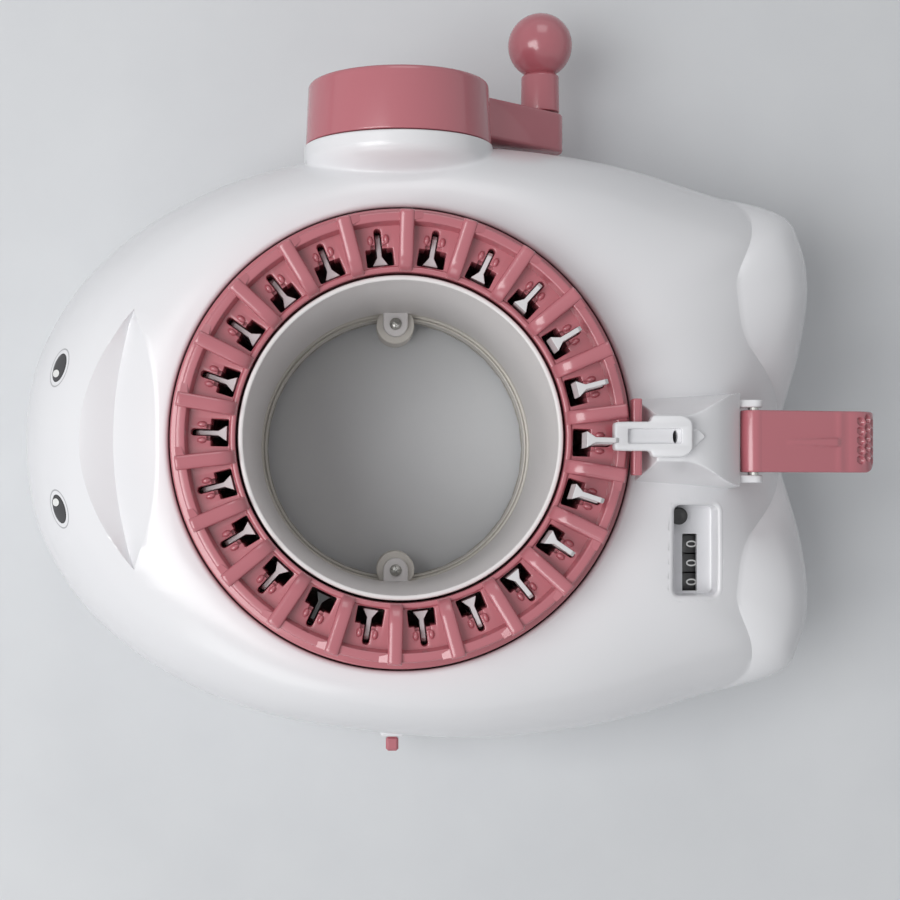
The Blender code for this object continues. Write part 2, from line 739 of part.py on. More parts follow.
def lower_shell():
    outline = body_outline()
    top = PARTING_Z - GAP
    steps = (
        (top, 0.0),
        (BODY_BOTTOM_Z + 2 * SKIRT_ROUNDING, SKIRT_DRAFT),
        (BODY_BOTTOM_Z + SKIRT_ROUNDING * (1 - math.sqrt(0.5)),
         SKIRT_DRAFT + SKIRT_ROUNDING * (1 - math.sqrt(0.5))),
        (BODY_BOTTOM_Z, SKIRT_DRAFT + SKIRT_ROUNDING),
    )
    sections = []
    for height, inset in reversed(steps):
        sections.append([Vector((p.x, p.y, height)) for p in offset_outline(outline, inset)])
    shell = loft("lower_shell", sections, False, WHITE)
    wall = shell.modifiers.new("wall", "SOLIDIFY")
    wall.thickness = SHELL_WALL
    wall.offset = -1
    wall.use_even_offset = True
    flat = block("bottom_trim", (-HEAD_REACH * 2, -HALF_WIDTH * 2, -DECK_Z),
                 (TAIL_REACH * 2, HALF_WIDTH * 2, BODY_BOTTOM_Z), home=cutters)
    boolean(shell, flat)
    return smooth(shell)


def bottom_plate():
    edge = [tuple(p) for p in offset_outline(body_outline(), PLATE_INSET)]
    bore = arc((0, 0), BASE_BORE, 0, FULL_TURN * (1 - 1 / TUBE_STEPS), TUBE_STEPS - 1)
    plate = slab("bottom_plate", [edge, bore], PLATE_THICKNESS, GREY)
    place(plate, (0, 0, PLATE_TOP_Z - PLATE_THICKNESS / 2))
    holes = [place(rod("hole", SCREW_SHANK_RADIUS + GAP, DECK_Z, SCREW_STEPS, home=cutters), spot)
             for spot in base_screw_spots(-DECK_Z / 2)]
    return boolean(plate, merged("plate_holes", holes))


def base_screw_spots(height):
    return [polar(BASE_SCREW_RADIUS, (k + 0.5) * FULL_TURN / BASE_SCREWS, height)
            for k in range(BASE_SCREWS)]


def foot_spots():
    return [(sx * FOOT_X, sy * FOOT_Y, 0) for sx in (-1, 1) for sy in (-1, 1)]


def rubber_feet():
    for number, spot in enumerate(foot_spots(), 1):
        foot = rod(f"rubber_foot_{number}", FOOT_RADIUS, FOOT_HEIGHT, PIN_STEPS, RUBBER,
                   top_radius=FOOT_RADIUS - FOOT_FLARE)
        smooth(place(foot, spot))


def screw(name, head_radius, head_height, shank_radius, length):
    """Pan-head screw, head above local Z = 0 and shank below."""
    crown = head_height * SCREW_CROWN_SHARE
    flat = head_radius * SCREW_CROWN_SHARE
    profile = [(0, head_height), (flat, head_height), (head_radius, crown),
               (head_radius, 0), (shank_radius, 0), (shank_radius, -length), (0, -length)]
    return smooth(lathe(name, profile, SCREW_STEPS, STEEL))


def base_screws():
    top = PLATE_TOP_Z - PLATE_THICKNESS - GAP
    for number, spot in enumerate(base_screw_spots(top), 1):
        made = screw(f"base_screw_{number}", SCREW_HEAD_RADIUS, SCREW_HEAD_HEIGHT,
                     SCREW_SHANK_RADIUS, SCREW_LENGTH)
        place(made, spot, (math.pi, 0, 0))


# Cam ring and gears

def cam_lift(angle):
    """How far the cam raises a needle at an angle from the feeder."""
    turn = abs((angle + math.pi) % FULL_TURN - math.pi)
    return NEEDLE_LIFT * max(0, 1 - turn / CAM_HALF_ANGLE) ** 2


def cam_ring():
    outer = CAM_INNER_RADIUS + CAM_WALL
    low = NEEDLE_LOW_Z - NEEDLE_LENGTH + BUTT_FROM_BOTTOM - GAP
    ledge = WALL_BOTTOM_Z - GAP
    sections = []
    for step in range(CAM_STEPS):
        angle = FULL_TURN * step / CAM_STEPS
        top = low + cam_lift(angle)
        profile = [
            (outer, top), (outer, BODY_BOTTOM_Z), (CAM_INNER_RADIUS, BODY_BOTTOM_Z),
            (CAM_INNER_RADIUS, ledge - LEDGE_THICKNESS), (LEDGE_INNER_RADIUS, ledge - LEDGE_THICKNESS),
            (LEDGE_INNER_RADIUS, ledge), (CAM_INNER_RADIUS, ledge), (CAM_INNER_RADIUS, top),
        ]
        sections.append([polar(radius, angle, height) for radius, height in profile])
    ring = loft("cam_ring", sections, True, NATURAL)
    turn_outward(ring.data)
    posts = [place(rod("post", CAM_POST_RADIUS, CAM_POST_HEIGHT, SCREW_STEPS, home=cutters), spot)
             for spot in base_screw_spots(BODY_BOTTOM_Z)]
    boolean(ring, merged("cam_posts", posts), "UNION")
    depth = SCREW_LENGTH + GAP
    bores = [place(rod("bore", SCREW_SHANK_RADIUS + GAP, 2 * depth, SCREW_STEPS, home=cutters), spot)
             for spot in base_screw_spots(BODY_BOTTOM_Z - depth)]
    return smooth(boolean(ring, merged("cam_bores", bores)))


def turn_outward(mesh):
    made = bmesh.new()
    made.from_mesh(mesh)
    bmesh.ops.recalc_face_normals(made, faces=made.faces)
    made.to_mesh(mesh)
    made.free()


def radial_frame(angle, radius, height, tilt=0.0):
    """Local X runs along the circle, local Y up and local Z outwards."""
    facing = Matrix(((-math.sin(angle), 0, math.cos(angle)),
                     (math.cos(angle), 0, math.sin(angle)),
                     (0, 1, 0))).to_4x4()
    return (Matrix.Translation(polar(radius, angle, height)) @ facing
            @ Matrix.Rotation(tilt, 4, "X"))


def crown_gear():
    """Face gear under the needle cylinder, teeth pointing down at the pinion."""
    root = PITCH_Z + TOOTH_REACH + TOOTH_CLEARANCE
    inner = WALL_OUTER_RADIUS + GAP
    top = SKIRT_BOTTOM_Z - GAP
    profile = [(CROWN_RADIUS, top), (CROWN_RADIUS, root), (inner, root), (inner, top)]
    gear = lathe("crown_gear", profile, RING_STEPS, NATURAL)
    half = (PITCH_ARC / 2 - TOOTH_BACKLASH) / 2
    tip = half - TOOTH_REACH * math.tan(PRESSURE_ANGLE)
    buried = TOOTH_REACH + TOOTH_CLEARANCE * 2
    base = half + buried * math.tan(PRESSURE_ANGLE)
    tooth = slab("tooth", [[(-tip, -TOOTH_REACH), (tip, -TOOTH_REACH), (base, buried),
                            (-base, buried)]], FACE_WIDTH, home=cutters)
    shape = tooth.data
    teeth = []
    for k in range(CROWN_TEETH):
        copy = add_object("tooth_copy", shape, home=cutters)
        angle = math.pi / 2 + (k + 0.5) * FULL_TURN / CROWN_TEETH
        copy.matrix_world = radial_frame(angle, FACE_INNER_RADIUS + FACE_WIDTH / 2, PITCH_Z)
        teeth.append(copy)
    bpy.data.objects.remove(tooth, do_unlink=True)
    return smooth(boolean(gear, merged("crown_teeth", teeth), "UNION"))


def involute(angle):
    return math.tan(angle) - angle


def pinion_outline():
    """Involute spur gear outline with one tooth pointing along +Y."""
    base = PINION_RADIUS * math.cos(PRESSURE_ANGLE)
    tip = PINION_RADIUS + TOOTH_REACH
    root = PINION_RADIUS - TOOTH_REACH - TOOTH_CLEARANCE
    half = (PITCH_ARC / 2 - TOOTH_BACKLASH) / 2 / PINION_RADIUS
    flank = [(root, half + involute(PRESSURE_ANGLE))]
    for step in range(INVOLUTE_STEPS + 1):
        radius = base + (tip - base) * step / INVOLUTE_STEPS
        lean = half + involute(PRESSURE_ANGLE) - involute(math.acos(base / radius))
        flank.append((radius, lean))
    points = []
    for k in range(PINION_TEETH):
        middle = math.pi / 2 + k * FULL_TURN / PINION_TEETH
        tooth = [(r, middle - lean) for r, lean in flank]
        tooth += [(r, middle + lean) for r, lean in reversed(flank)]
        points += [(r * math.cos(a), r * math.sin(a)) for r, a in tooth]
    return points


def drive_pinion():
    gear = slab("drive_pinion", [pinion_outline()], FACE_WIDTH, NATURAL)
    place(gear, (0, FACE_INNER_RADIUS + FACE_WIDTH / 2, CRANK_Z), UPRIGHT_XZ)
    hub = rod("pinion_hub", PINION_HUB_RADIUS, PINION_HUB_LENGTH + FACE_WIDTH / 2, PIN_STEPS, home=cutters)
    place(hub, (0, FACE_INNER_RADIUS + FACE_WIDTH / 2, CRANK_Z), ALONG_Y)
    boolean(gear, hub, "UNION")
    bore = rod("pinion_bore", SHAFT_RADIUS + GAP, HALF_WIDTH, PIN_STEPS, home=cutters)
    place(bore, (0, HALF_WIDTH / 4, CRANK_Z), ALONG_Y)
    return smooth(boolean(gear, bore))


# Needle cylinder and needles

def needle_angle(index):
    return RING_PHASE + index * NEEDLE_PITCH


def needle_cylinder():
    """Ring with a ribbed crown above and a slotted wall below."""
    under = FLOOR_Z - FLOOR_THICKNESS
    flange = RING_TOP_Z - INNER_FLANGE_DROP
    rim = RING_TOP_Z - RIM_DROP
    profile = [
        (OUTER_FLANGE_RADIUS, rim), (RIM_RADIUS, rim), (SKIRT_RADIUS, SKIRT_TOP_Z),
        (SKIRT_RADIUS, SKIRT_BOTTOM_Z), (SKIRT_RADIUS - SKIRT_WALL, SKIRT_BOTTOM_Z),
        (SKIRT_RADIUS - SKIRT_WALL, SKIRT_TOP_Z), (RIM_RADIUS - SKIRT_WALL, under),
        (WALL_OUTER_RADIUS, under), (WALL_OUTER_RADIUS, WALL_BOTTOM_Z),
        (WALL_INNER_RADIUS, WALL_BOTTOM_Z), (WALL_INNER_RADIUS, under),
        (INNER_FLANGE_RADIUS, under), (INNER_FLANGE_RADIUS, RING_TOP_Z - INNER_FLANGE_DEPTH),
        (RING_BORE, RING_TOP_Z - INNER_FLANGE_DEPTH), (RING_BORE, FLOOR_Z),
        ((RING_BORE + INNER_FLANGE_RADIUS) / 2, flange), (INNER_FLANGE_RADIUS, FLOOR_Z),
        (OUTER_FLANGE_RADIUS, FLOOR_Z),
    ]
    ring = lathe("needle_cylinder", profile, RING_STEPS, PINK)
    boolean(ring, crown_ribs(), "UNION")
    boolean(ring, cell_openings())
    boolean(ring, needle_slots())
    return smooth(ring)


def crown_ribs():
    """Round-topped ribs between the cells, falling towards the bore."""
    length = RIB_OUTER_RADIUS - RIB_INNER_RADIUS
    half = RIB_WIDTH / 2
    height = CELL_DEPTH + FLOOR_THICKNESS / 2
    top = arc((0, -half), half, 0, math.pi, RIB_ARC_STEPS)
    outline = [(-half, -height), (half, -height)] + top
    rib = slab("rib", [outline], length, home=cutters)
    tilt = -math.atan2(RIB_FALL, length)
    copies = []
    for k in range(NEEDLES):
        copy = add_object("rib_copy", rib.data, home=cutters)
        middle = (RIB_OUTER_RADIUS + RIB_INNER_RADIUS) / 2
        copy.matrix_world = radial_frame(
            needle_angle(k + 0.5), middle, RING_TOP_Z - RIB_FALL / 2, tilt)
        copies.append(copy)
    bpy.data.objects.remove(rib, do_unlink=True)
    return merged("crown_ribs", copies)


def around_ring(name, shape, height):
    """Copies of a cutter drawn along +X, one to each needle."""
    copies = []
    for k in range(NEEDLES):
        copy = add_object(name + "_copy", shape.data, home=cutters)
        place(copy, (0, 0, height), (0, 0, needle_angle(k)))
        copies.append(copy)
    bpy.data.objects.remove(shape, do_unlink=True)
    return merged(name, copies)


def cell_openings():
    half = CELL_WIDTH / 2
    outline = [(CELL_INNER_RADIUS, -half), (CELL_STEP_RADIUS, -half),
               (CELL_STEP_RADIUS, half), (CELL_INNER_RADIUS, half)]
    depth = 2 * (CELL_DEPTH + FLOOR_THICKNESS)
    return around_ring("cell_openings", slab("opening", [outline], depth, home=cutters), FLOOR_Z)


def needle_slots():
    half = SLOT_WIDTH / 2
    back = CELL_STEP_RADIUS - half
    outline = [(back, -half), (CELL_OUTER_RADIUS, -half), (CELL_OUTER_RADIUS, half), (back, half)]
    bottom = WALL_BOTTOM_Z + WALL_FOOT_HEIGHT
    height = RING_TOP_Z + OVERRUN - bottom
    return around_ring("needle_slots", slab("slot", [outline], height, home=cutters),
                       bottom + height / 2)


def needle_mesh():
    """Needle with its top at local Z = 0 and local X running outwards."""
    back = NEEDLE_BACK_RADIUS + HOOK_TIP_WIDTH
    front = NEEDLE_FRONT_RADIUS
    tip = front - HOOK_TIP_WIDTH
    bottom = -NEEDLE_LENGTH
    butt = bottom + BUTT_FROM_BOTTOM
    mouth = -HOOK_THICKNESS - HOOK_MOUTH
    outline = [
        (back, 0), (front - HOOK_THICKNESS / 2, 0), (front, -HOOK_THICKNESS / 2),
        (front, -HOOK_TIP_DROP), (tip, -HOOK_TIP_DROP), (tip, -HOOK_THICKNESS),
        (NEEDLE_THROAT_RADIUS, -HOOK_THICKNESS), (NEEDLE_THROAT_RADIUS, mouth),
        (front, mouth - HOOK_CHEEK / 2),
        (front, butt + BUTT_HEIGHT), (front + BUTT_REACH, butt + BUTT_HEIGHT),
        (front + BUTT_REACH, butt), (front, butt), (front, bottom),
        (NEEDLE_STEM_RADIUS, bottom), (NEEDLE_STEM_RADIUS, mouth - HOOK_CHEEK),
        (back, mouth),
    ]
    blade = slab("blade", [outline], NEEDLE_THICKNESS, home=cutters)
    place(blade, rotation=UPRIGHT_XZ)
    half = NEEDLE_THICKNESS / 2
    neck = NEEDLE_THROAT_RADIUS - NEEDLE_THICKNESS / 2
    wide = FAN_WIDTH / 2
    inner = NEEDLE_BACK_RADIUS
    fan = slab("fan", [[(inner, -wide), (neck, -half), (neck, half), (inner, wide)]],
               -mouth, home=cutters)
    place(fan, (0, 0, mouth / 2))
    boolean(fan, blade, "UNION")
    mesh = evaluated_mesh(fan)
    for used in (fan, blade):
        bpy.data.objects.remove(used, do_unlink=True)
    mesh.name = "needle"
    mesh.transform(Matrix.Translation((-CELL_STEP_RADIUS, 0, 0)))
    return mesh


def needles(holder):
    """One hooked needle to each slot, at the height that the cam gives it."""
    shape = needle_mesh()
    marker = shape.copy()
    marker.name = "marker_needle"
    for index in range(NEEDLES):
        angle = needle_angle(index)
        mesh = marker if index == MARKER_INDEX else shape
        colour = BLACK if index == MARKER_INDEX else WHITE
        needle = add_object(f"needle_{index + 1:02d}", mesh, colour)
        height = NEEDLE_LOW_Z + cam_lift(angle) - RING_TOP_Z
        place(needle, polar(CELL_STEP_RADIUS, angle, height), (0, 0, angle), holder)


# Inner tube and base ring

def lug_spots(height):
    return [polar(LUG_REACH, side * math.pi / 2, height) for side in (-1, 1)]


def inner_tube():
    inner = TUBE_RADIUS - TUBE_WALL
    profile = [(TUBE_RADIUS, TUBE_TOP_Z), (TUBE_RADIUS, TUBE_BOTTOM_Z),
               (inner, TUBE_BOTTOM_Z), (inner, TUBE_TOP_Z)]
    tube = lathe("inner_tube", profile, TUBE_STEPS, WHITE)
    half = LUG_WIDTH / 2
    outline = arc((LUG_REACH, 0), half, math.pi / 2, 3 * math.pi / 2, 8)
    root = inner + TUBE_WALL / 2
    outline += [(root, -half), (root, half)]
    lugs = []
    for side in (-1, 1):
        lug = slab("lug", [outline], LUG_THICKNESS, home=cutters)
        lugs.append(place(lug, (0, 0, TUBE_BOTTOM_Z + LUG_THICKNESS / 2),
                          (0, 0, side * math.pi / 2)))
    boolean(tube, merged("tube_lugs", lugs), "UNION")
    return smooth(boolean(tube, lug_bores()))


def lug_bores():
    depth = SCREW_LENGTH + LUG_THICKNESS
    bottom = TUBE_BOTTOM_Z + LUG_THICKNESS - depth
    bores = [place(rod("bore", SCREW_SHANK_RADIUS + GAP, depth + OVERRUN, SCREW_STEPS,
                       home=cutters), spot) for spot in lug_spots(bottom)]
    return merged("lug_bores", bores)


def tube_screws():
    top = TUBE_BOTTOM_Z + LUG_THICKNESS + GAP
    for number, spot in enumerate(lug_spots(top), 1):
        made = screw(f"tube_screw_{number}", TUBE_SCREW_HEAD_RADIUS, SCREW_HEAD_HEIGHT,
                     SCREW_SHANK_RADIUS, SCREW_LENGTH)
        place(made, spot)


def base_ring():
    top = TUBE_BOTTOM_Z - GAP
    step = BODY_BOTTOM_Z + BASE_LEDGE_HEIGHT
    profile = [(BASE_RING_RADIUS, top), (BASE_RING_RADIUS, BODY_BOTTOM_Z),
               (BASE_BORE, BODY_BOTTOM_Z), (BASE_BORE, step), (BASE_BORE + BASE_LEDGE, step),
               (BASE_BORE + BASE_LEDGE, top)]
    ring = lathe("base_ring", profile, TUBE_STEPS, GREY)
    posts = [place(rod("post", POST_RADIUS, top - BODY_BOTTOM_Z, PIN_STEPS, home=cutters), spot)
             for spot in lug_spots(BODY_BOTTOM_Z)]
    boolean(ring, merged("base_posts", posts), "UNION")
    return smooth(boolean(ring, lug_bores()))


# Crank drive on the far side

def gear_housing():
    end = DRUM_START_Y - GAP
    bore = BUSH_RADIUS + GAP
    inner = HOUSING_RADIUS - HOUSING_WALL
    profile = [
        (HOUSING_RADIUS, end),
        (HOUSING_RADIUS, HOUSING_START_Y), (inner, HOUSING_START_Y), (inner, end - HOUSING_WALL),
        (HOUSING_BOSS_RADIUS, end - HOUSING_WALL), (HOUSING_BOSS_RADIUS, HOUSING_BOSS_START_Y),
        (bore, HOUSING_BOSS_START_Y), (bore, end),
    ]
    return smooth(place(lathe("gear_housing", profile, CRANK_STEPS, WHITE),
                        (0, 0, CRANK_Z), ALONG_Y))


def shaft_bush():
    end = DRUM_START_Y - 2 * GAP
    flange = HOUSING_BOSS_START_Y - GAP
    bore = SHAFT_RADIUS + RUNNING_GAP
    profile = [(BUSH_RADIUS, end), (BUSH_RADIUS, flange), (BUSH_FLANGE_RADIUS, flange),
               (BUSH_FLANGE_RADIUS, flange - BUSH_FLANGE), (bore, flange - BUSH_FLANGE),
               (bore, end)]
    return smooth(place(lathe("shaft_bush", profile, PIN_STEPS, NATURAL), (0, 0, CRANK_Z), ALONG_Y))


def crank_shaft():
    start = FACE_INNER_RADIUS
    shaft = rod("crank_shaft", SHAFT_RADIUS, SHAFT_END_Y - start, PIN_STEPS, STEEL)
    return smooth(place(shaft, (0, start, CRANK_Z), ALONG_Y))


def arm_end(height):
    """Point on the knob's axis, in the plane of the crank's turning."""
    return (CRANK_RADIUS * math.cos(CRANK_ANGLE), height,
            CRANK_Z + CRANK_RADIUS * math.sin(CRANK_ANGLE))


def crank():
    profile = [
        (0, DRUM_END_Y), (DRUM_RADIUS - DRUM_DRAFT - DRUM_ROUNDING, DRUM_END_Y),
        (DRUM_RADIUS - DRUM_DRAFT, DRUM_END_Y - DRUM_ROUNDING), (DRUM_RADIUS, DRUM_START_Y),
        (0, DRUM_START_Y),
    ]
    hub = place(lathe("crank", profile, CRANK_STEPS, PINK), (0, 0, CRANK_Z), ALONG_Y)
    outline = arc((0, 0), ARM_ROOT_HALF, math.pi / 2, 3 * math.pi / 2, 8)
    outline += arc((CRANK_RADIUS, 0), ARM_END_RADIUS, -math.pi / 2, math.pi / 2, 10)
    arm = slab("arm", [outline], ARM_END_Y - ARM_START_Y, home=cutters)
    place(arm, (0, (ARM_START_Y + ARM_END_Y) / 2, CRANK_Z),
          (math.pi / 2, -CRANK_ANGLE, 0))
    boolean(hub, arm, "UNION")
    dish = rod("dish", DRUM_DISH_RADIUS, DRUM_DISH + OVERRUN, CRANK_STEPS, home=cutters)
    place(dish, (0, DRUM_END_Y - DRUM_DISH, CRANK_Z), ALONG_Y)
    boolean(hub, dish)
    shaft_hole = rod("shaft_hole", SHAFT_RADIUS + GAP, DRUM_END_Y, PIN_STEPS, home=cutters)
    place(shaft_hole, (0, DRUM_START_Y - OVERRUN, CRANK_Z), ALONG_Y)
    boolean(hub, shaft_hole)
    pin_hole = rod("pin_hole", KNOB_PIN_RADIUS + GAP, DRUM_END_Y, PIN_STEPS, home=cutters)
    place(pin_hole, arm_end(ARM_START_Y - OVERRUN), ALONG_Y)
    return smooth(boolean(hub, pin_hole))


def crank_cap():
    start = DRUM_END_Y - DRUM_DISH + GAP
    cap = rod("crank_cap", CAP_RADIUS, CAP_HEIGHT, PIN_STEPS, STEEL, top_radius=CAP_RADIUS - CAP_HEIGHT / 2)
    return smooth(place(cap, (0, start, CRANK_Z), ALONG_Y))


def knob_pin():
    pin = rod("knob_pin", KNOB_PIN_RADIUS, KNOB_PIN_LENGTH, PIN_STEPS, STEEL)
    return smooth(place(pin, arm_end(ARM_START_Y + GAP), ALONG_Y))


def crank_knob():
    """Ball knob on a short stem, free to turn on its pin."""
    start = ARM_END_Y + RUNNING_GAP
    ball = KNOB_BALL_Y - start
    bore = KNOB_PIN_RADIUS + RUNNING_GAP
    depth = ARM_START_Y + KNOB_PIN_LENGTH + 2 * GAP - start
    neck = KNOB_STEM_RADIUS - KNOB_GROOVE
    join = -math.acos(neck / KNOB_BALL_RADIUS)
    turn = [math.pi / 2 + (join - math.pi / 2) * i / BALL_STEPS for i in range(BALL_STEPS + 1)]
    profile = [(KNOB_BALL_RADIUS * math.cos(a), ball + KNOB_BALL_RADIUS * math.sin(a))
               for a in turn]
    profile[0] = (0, ball + KNOB_BALL_RADIUS)
    profile += [(neck, KNOB_STEM_LENGTH), (KNOB_STEM_RADIUS, KNOB_STEM_LENGTH),
                (KNOB_STEM_RADIUS, 0), (bore, 0), (bore, depth), (0, depth)]
    return smooth(place(lathe("crank_knob", profile, PIN_STEPS, PINK), arm_end(start), ALONG_Y))


# Feeder bracket, yarn feeder, guard and tension arm

def feeder_bracket():
    """Saddle block on the deck, with two ears for the tension arm's pin."""
    outline = [
        (BRACKET_START_X, DECK_Z - BRACKET_SINK), (BRACKET_END_X, DECK_Z - BRACKET_SINK),
        (BRACKET_END_X, BRACKET_TAIL_Z), (BRACKET_START_X + BRACKET_FLAT, BRACKET_TOP_Z),
        (BRACKET_START_X, BRACKET_TOP_Z),
    ]
    bracket = slab("feeder_bracket", [outline], 2 * BRACKET_HALF_WIDTH, WHITE)
    place(bracket, rotation=UPRIGHT_XZ)
    bevel(bracket, BRACKET_BEVEL)
    scoop = rod("saddle", SADDLE_RADIUS, TAIL_REACH, CRANK_STEPS, home=cutters)
    place(scoop, (BRACKET_START_X - OVERRUN, 0, BRACKET_TOP_Z + SADDLE_RADIUS - SADDLE_DEPTH),
          (0, math.pi / 2, 0))
    boolean(bracket, scoop)
    ear = arc((ARM_PIVOT_X, ARM_PIVOT_Z), EAR_RADIUS, -EAR_SWEEP, EAR_SWEEP, 8)
    ear += [(BRACKET_END_X - OVERRUN, ARM_PIVOT_Z), (BRACKET_END_X - OVERRUN, ARM_PIVOT_Z - 2 * EAR_RADIUS)]
    reach = ARM_WIDTH / 2 + RUNNING_GAP + EAR_THICKNESS / 2
    ears = [place(slab("ear", [ear], EAR_THICKNESS, home=cutters),
                  (0, ARM_OFFSET_Y + side * reach, 0), UPRIGHT_XZ) for side in (-1, 1)]
    boolean(bracket, merged("bracket_ears", ears), "UNION")
    boolean(bracket, pivot_bore("ear_bore", ARM_PIN_RADIUS + GAP))
    boolean(bracket, body_form(GAP))
    return smooth(bracket)


def pivot_bore(name, radius):
    bore = rod(name, radius, 4 * BRACKET_HALF_WIDTH, PIN_STEPS, home=cutters)
    return place(bore, (ARM_PIVOT_X, -2 * BRACKET_HALF_WIDTH, ARM_PIVOT_Z), ALONG_Y)


def yarn_feeder():
    """T-shaped feeder: nose over the needles, channel and oval yarn hole."""
    nose = FEEDER_NOSE_X + FEEDER_NOSE_LENGTH
    outline = [
        (FEEDER_NOSE_X, -FEEDER_NOSE_WIDTH / 2), (nose, -FEEDER_NOSE_WIDTH / 2),
        (nose, -FEEDER_NECK_WIDTH / 2), (FEEDER_HEAD_X, -FEEDER_NECK_WIDTH / 2),
        (FEEDER_HEAD_X, -FEEDER_HEAD_WIDTH / 2), (FEEDER_END_X, -FEEDER_HEAD_WIDTH / 2),
    ]
    outline += [(x, -y) for x, y in reversed(outline)]
    feeder = slab("yarn_feeder", [outline], FEEDER_THICKNESS, WHITE)
    bottom = FEEDER_BOTTOM_Z
    place(feeder, (0, 0, bottom + FEEDER_THICKNESS / 2))
    top = bottom + FEEDER_THICKNESS
    channel = block("channel", (nose, -CHANNEL_WIDTH / 2, top - CHANNEL_DEPTH),
                    (YARN_HOLE_X, CHANNEL_WIDTH / 2, top + OVERRUN), home=cutters)
    boolean(feeder, channel)
    half = YARN_HOLE_WIDTH / 2
    straight = YARN_HOLE_LENGTH / 2 - half
    oval = (arc((YARN_HOLE_X, straight), half, 0, math.pi, 4)
            + arc((YARN_HOLE_X, -straight), half, math.pi, FULL_TURN, 4))
    hole = slab("yarn_hole", [oval], 2 * RING_TOP_Z, home=cutters)
    boolean(feeder, place(hole, (0, 0, RING_TOP_Z)))
    return smooth(feeder)


def needle_guard():
    low = (BRACKET_START_X - GAP - GUARD_THICKNESS, -GUARD_HALF_WIDTH, GUARD_BOTTOM_Z)
    high = (BRACKET_START_X - GAP, GUARD_HALF_WIDTH, FEEDER_BOTTOM_Z - GAP)
    return smooth(bevel(block("needle_guard", low, high, PINK), GUARD_THICKNESS / 4))


def tension_arm():
    """Lever with a knuckle at the root and a tip that turns down."""
    bend = (ARM_LENGTH - ARM_BEND, -ARM_DROP - ARM_BEND)
    outline = [(0, KNUCKLE_RADIUS)]
    outline += arc(bend, ARM_BEND, math.pi / 2, ARM_TIP_TURN, 6)
    outline += arc(bend, ARM_BEND - ARM_THICKNESS, ARM_TIP_TURN, math.pi / 2, 6)
    outline += [(0, KNUCKLE_RADIUS - ARM_THICKNESS)]
    plate = slab("tension_arm", [outline], ARM_WIDTH, PINK)
    pivot = (ARM_PIVOT_X, ARM_OFFSET_Y, ARM_PIVOT_Z)
    place(plate, pivot, UPRIGHT_XZ)
    bevel(plate, ARM_THICKNESS / 4)
    knuckle = rod("knuckle", KNUCKLE_RADIUS, ARM_WIDTH, PIN_STEPS, home=cutters)
    place(knuckle, (ARM_PIVOT_X, ARM_OFFSET_Y - ARM_WIDTH / 2, ARM_PIVOT_Z), ALONG_Y)
    boolean(plate, knuckle, "UNION")
    slope = math.atan2(KNUCKLE_RADIUS + ARM_DROP, ARM_LENGTH - ARM_BEND)
    rib = block("arm_rib", (-ARM_RIB_LENGTH / 2, -ARM_RIB_WIDTH / 2, -ARM_THICKNESS / 2),
                (ARM_RIB_LENGTH / 2, ARM_RIB_WIDTH / 2, ARM_RIB_HEIGHT), home=cutters)
    along = ARM_LENGTH - ARM_BEND - ARM_RIB_LENGTH / 2
    place(rib, (ARM_PIVOT_X + along, ARM_OFFSET_Y,
                ARM_PIVOT_Z + KNUCKLE_RADIUS - along * math.tan(slope)), (0, slope, 0))
    boolean(plate, rib, "UNION")
    boolean(plate, pivot_bore("knuckle_bore", ARM_PIN_RADIUS + RUNNING_GAP))
    return smooth(plate)


def arm_pin():
    length = ARM_WIDTH + 2 * RUNNING_GAP + 2 * EAR_THICKNESS
    pin = rod("arm_pin", ARM_PIN_RADIUS, length, PIN_STEPS, STEEL)
    return smooth(place(pin, (ARM_PIVOT_X, ARM_OFFSET_Y - length / 2, ARM_PIVOT_Z), ALONG_Y))


# Row counter

def wheel_axis_z():
    """Low enough for a wheel's rim to stay under the window in the floor."""
    under = COUNTER_FLOOR_Z - COUNTER_FLOOR
    return under - math.sqrt(WHEEL_RADIUS ** 2 - (DIGIT_WINDOW_X / 2 - GAP) ** 2)


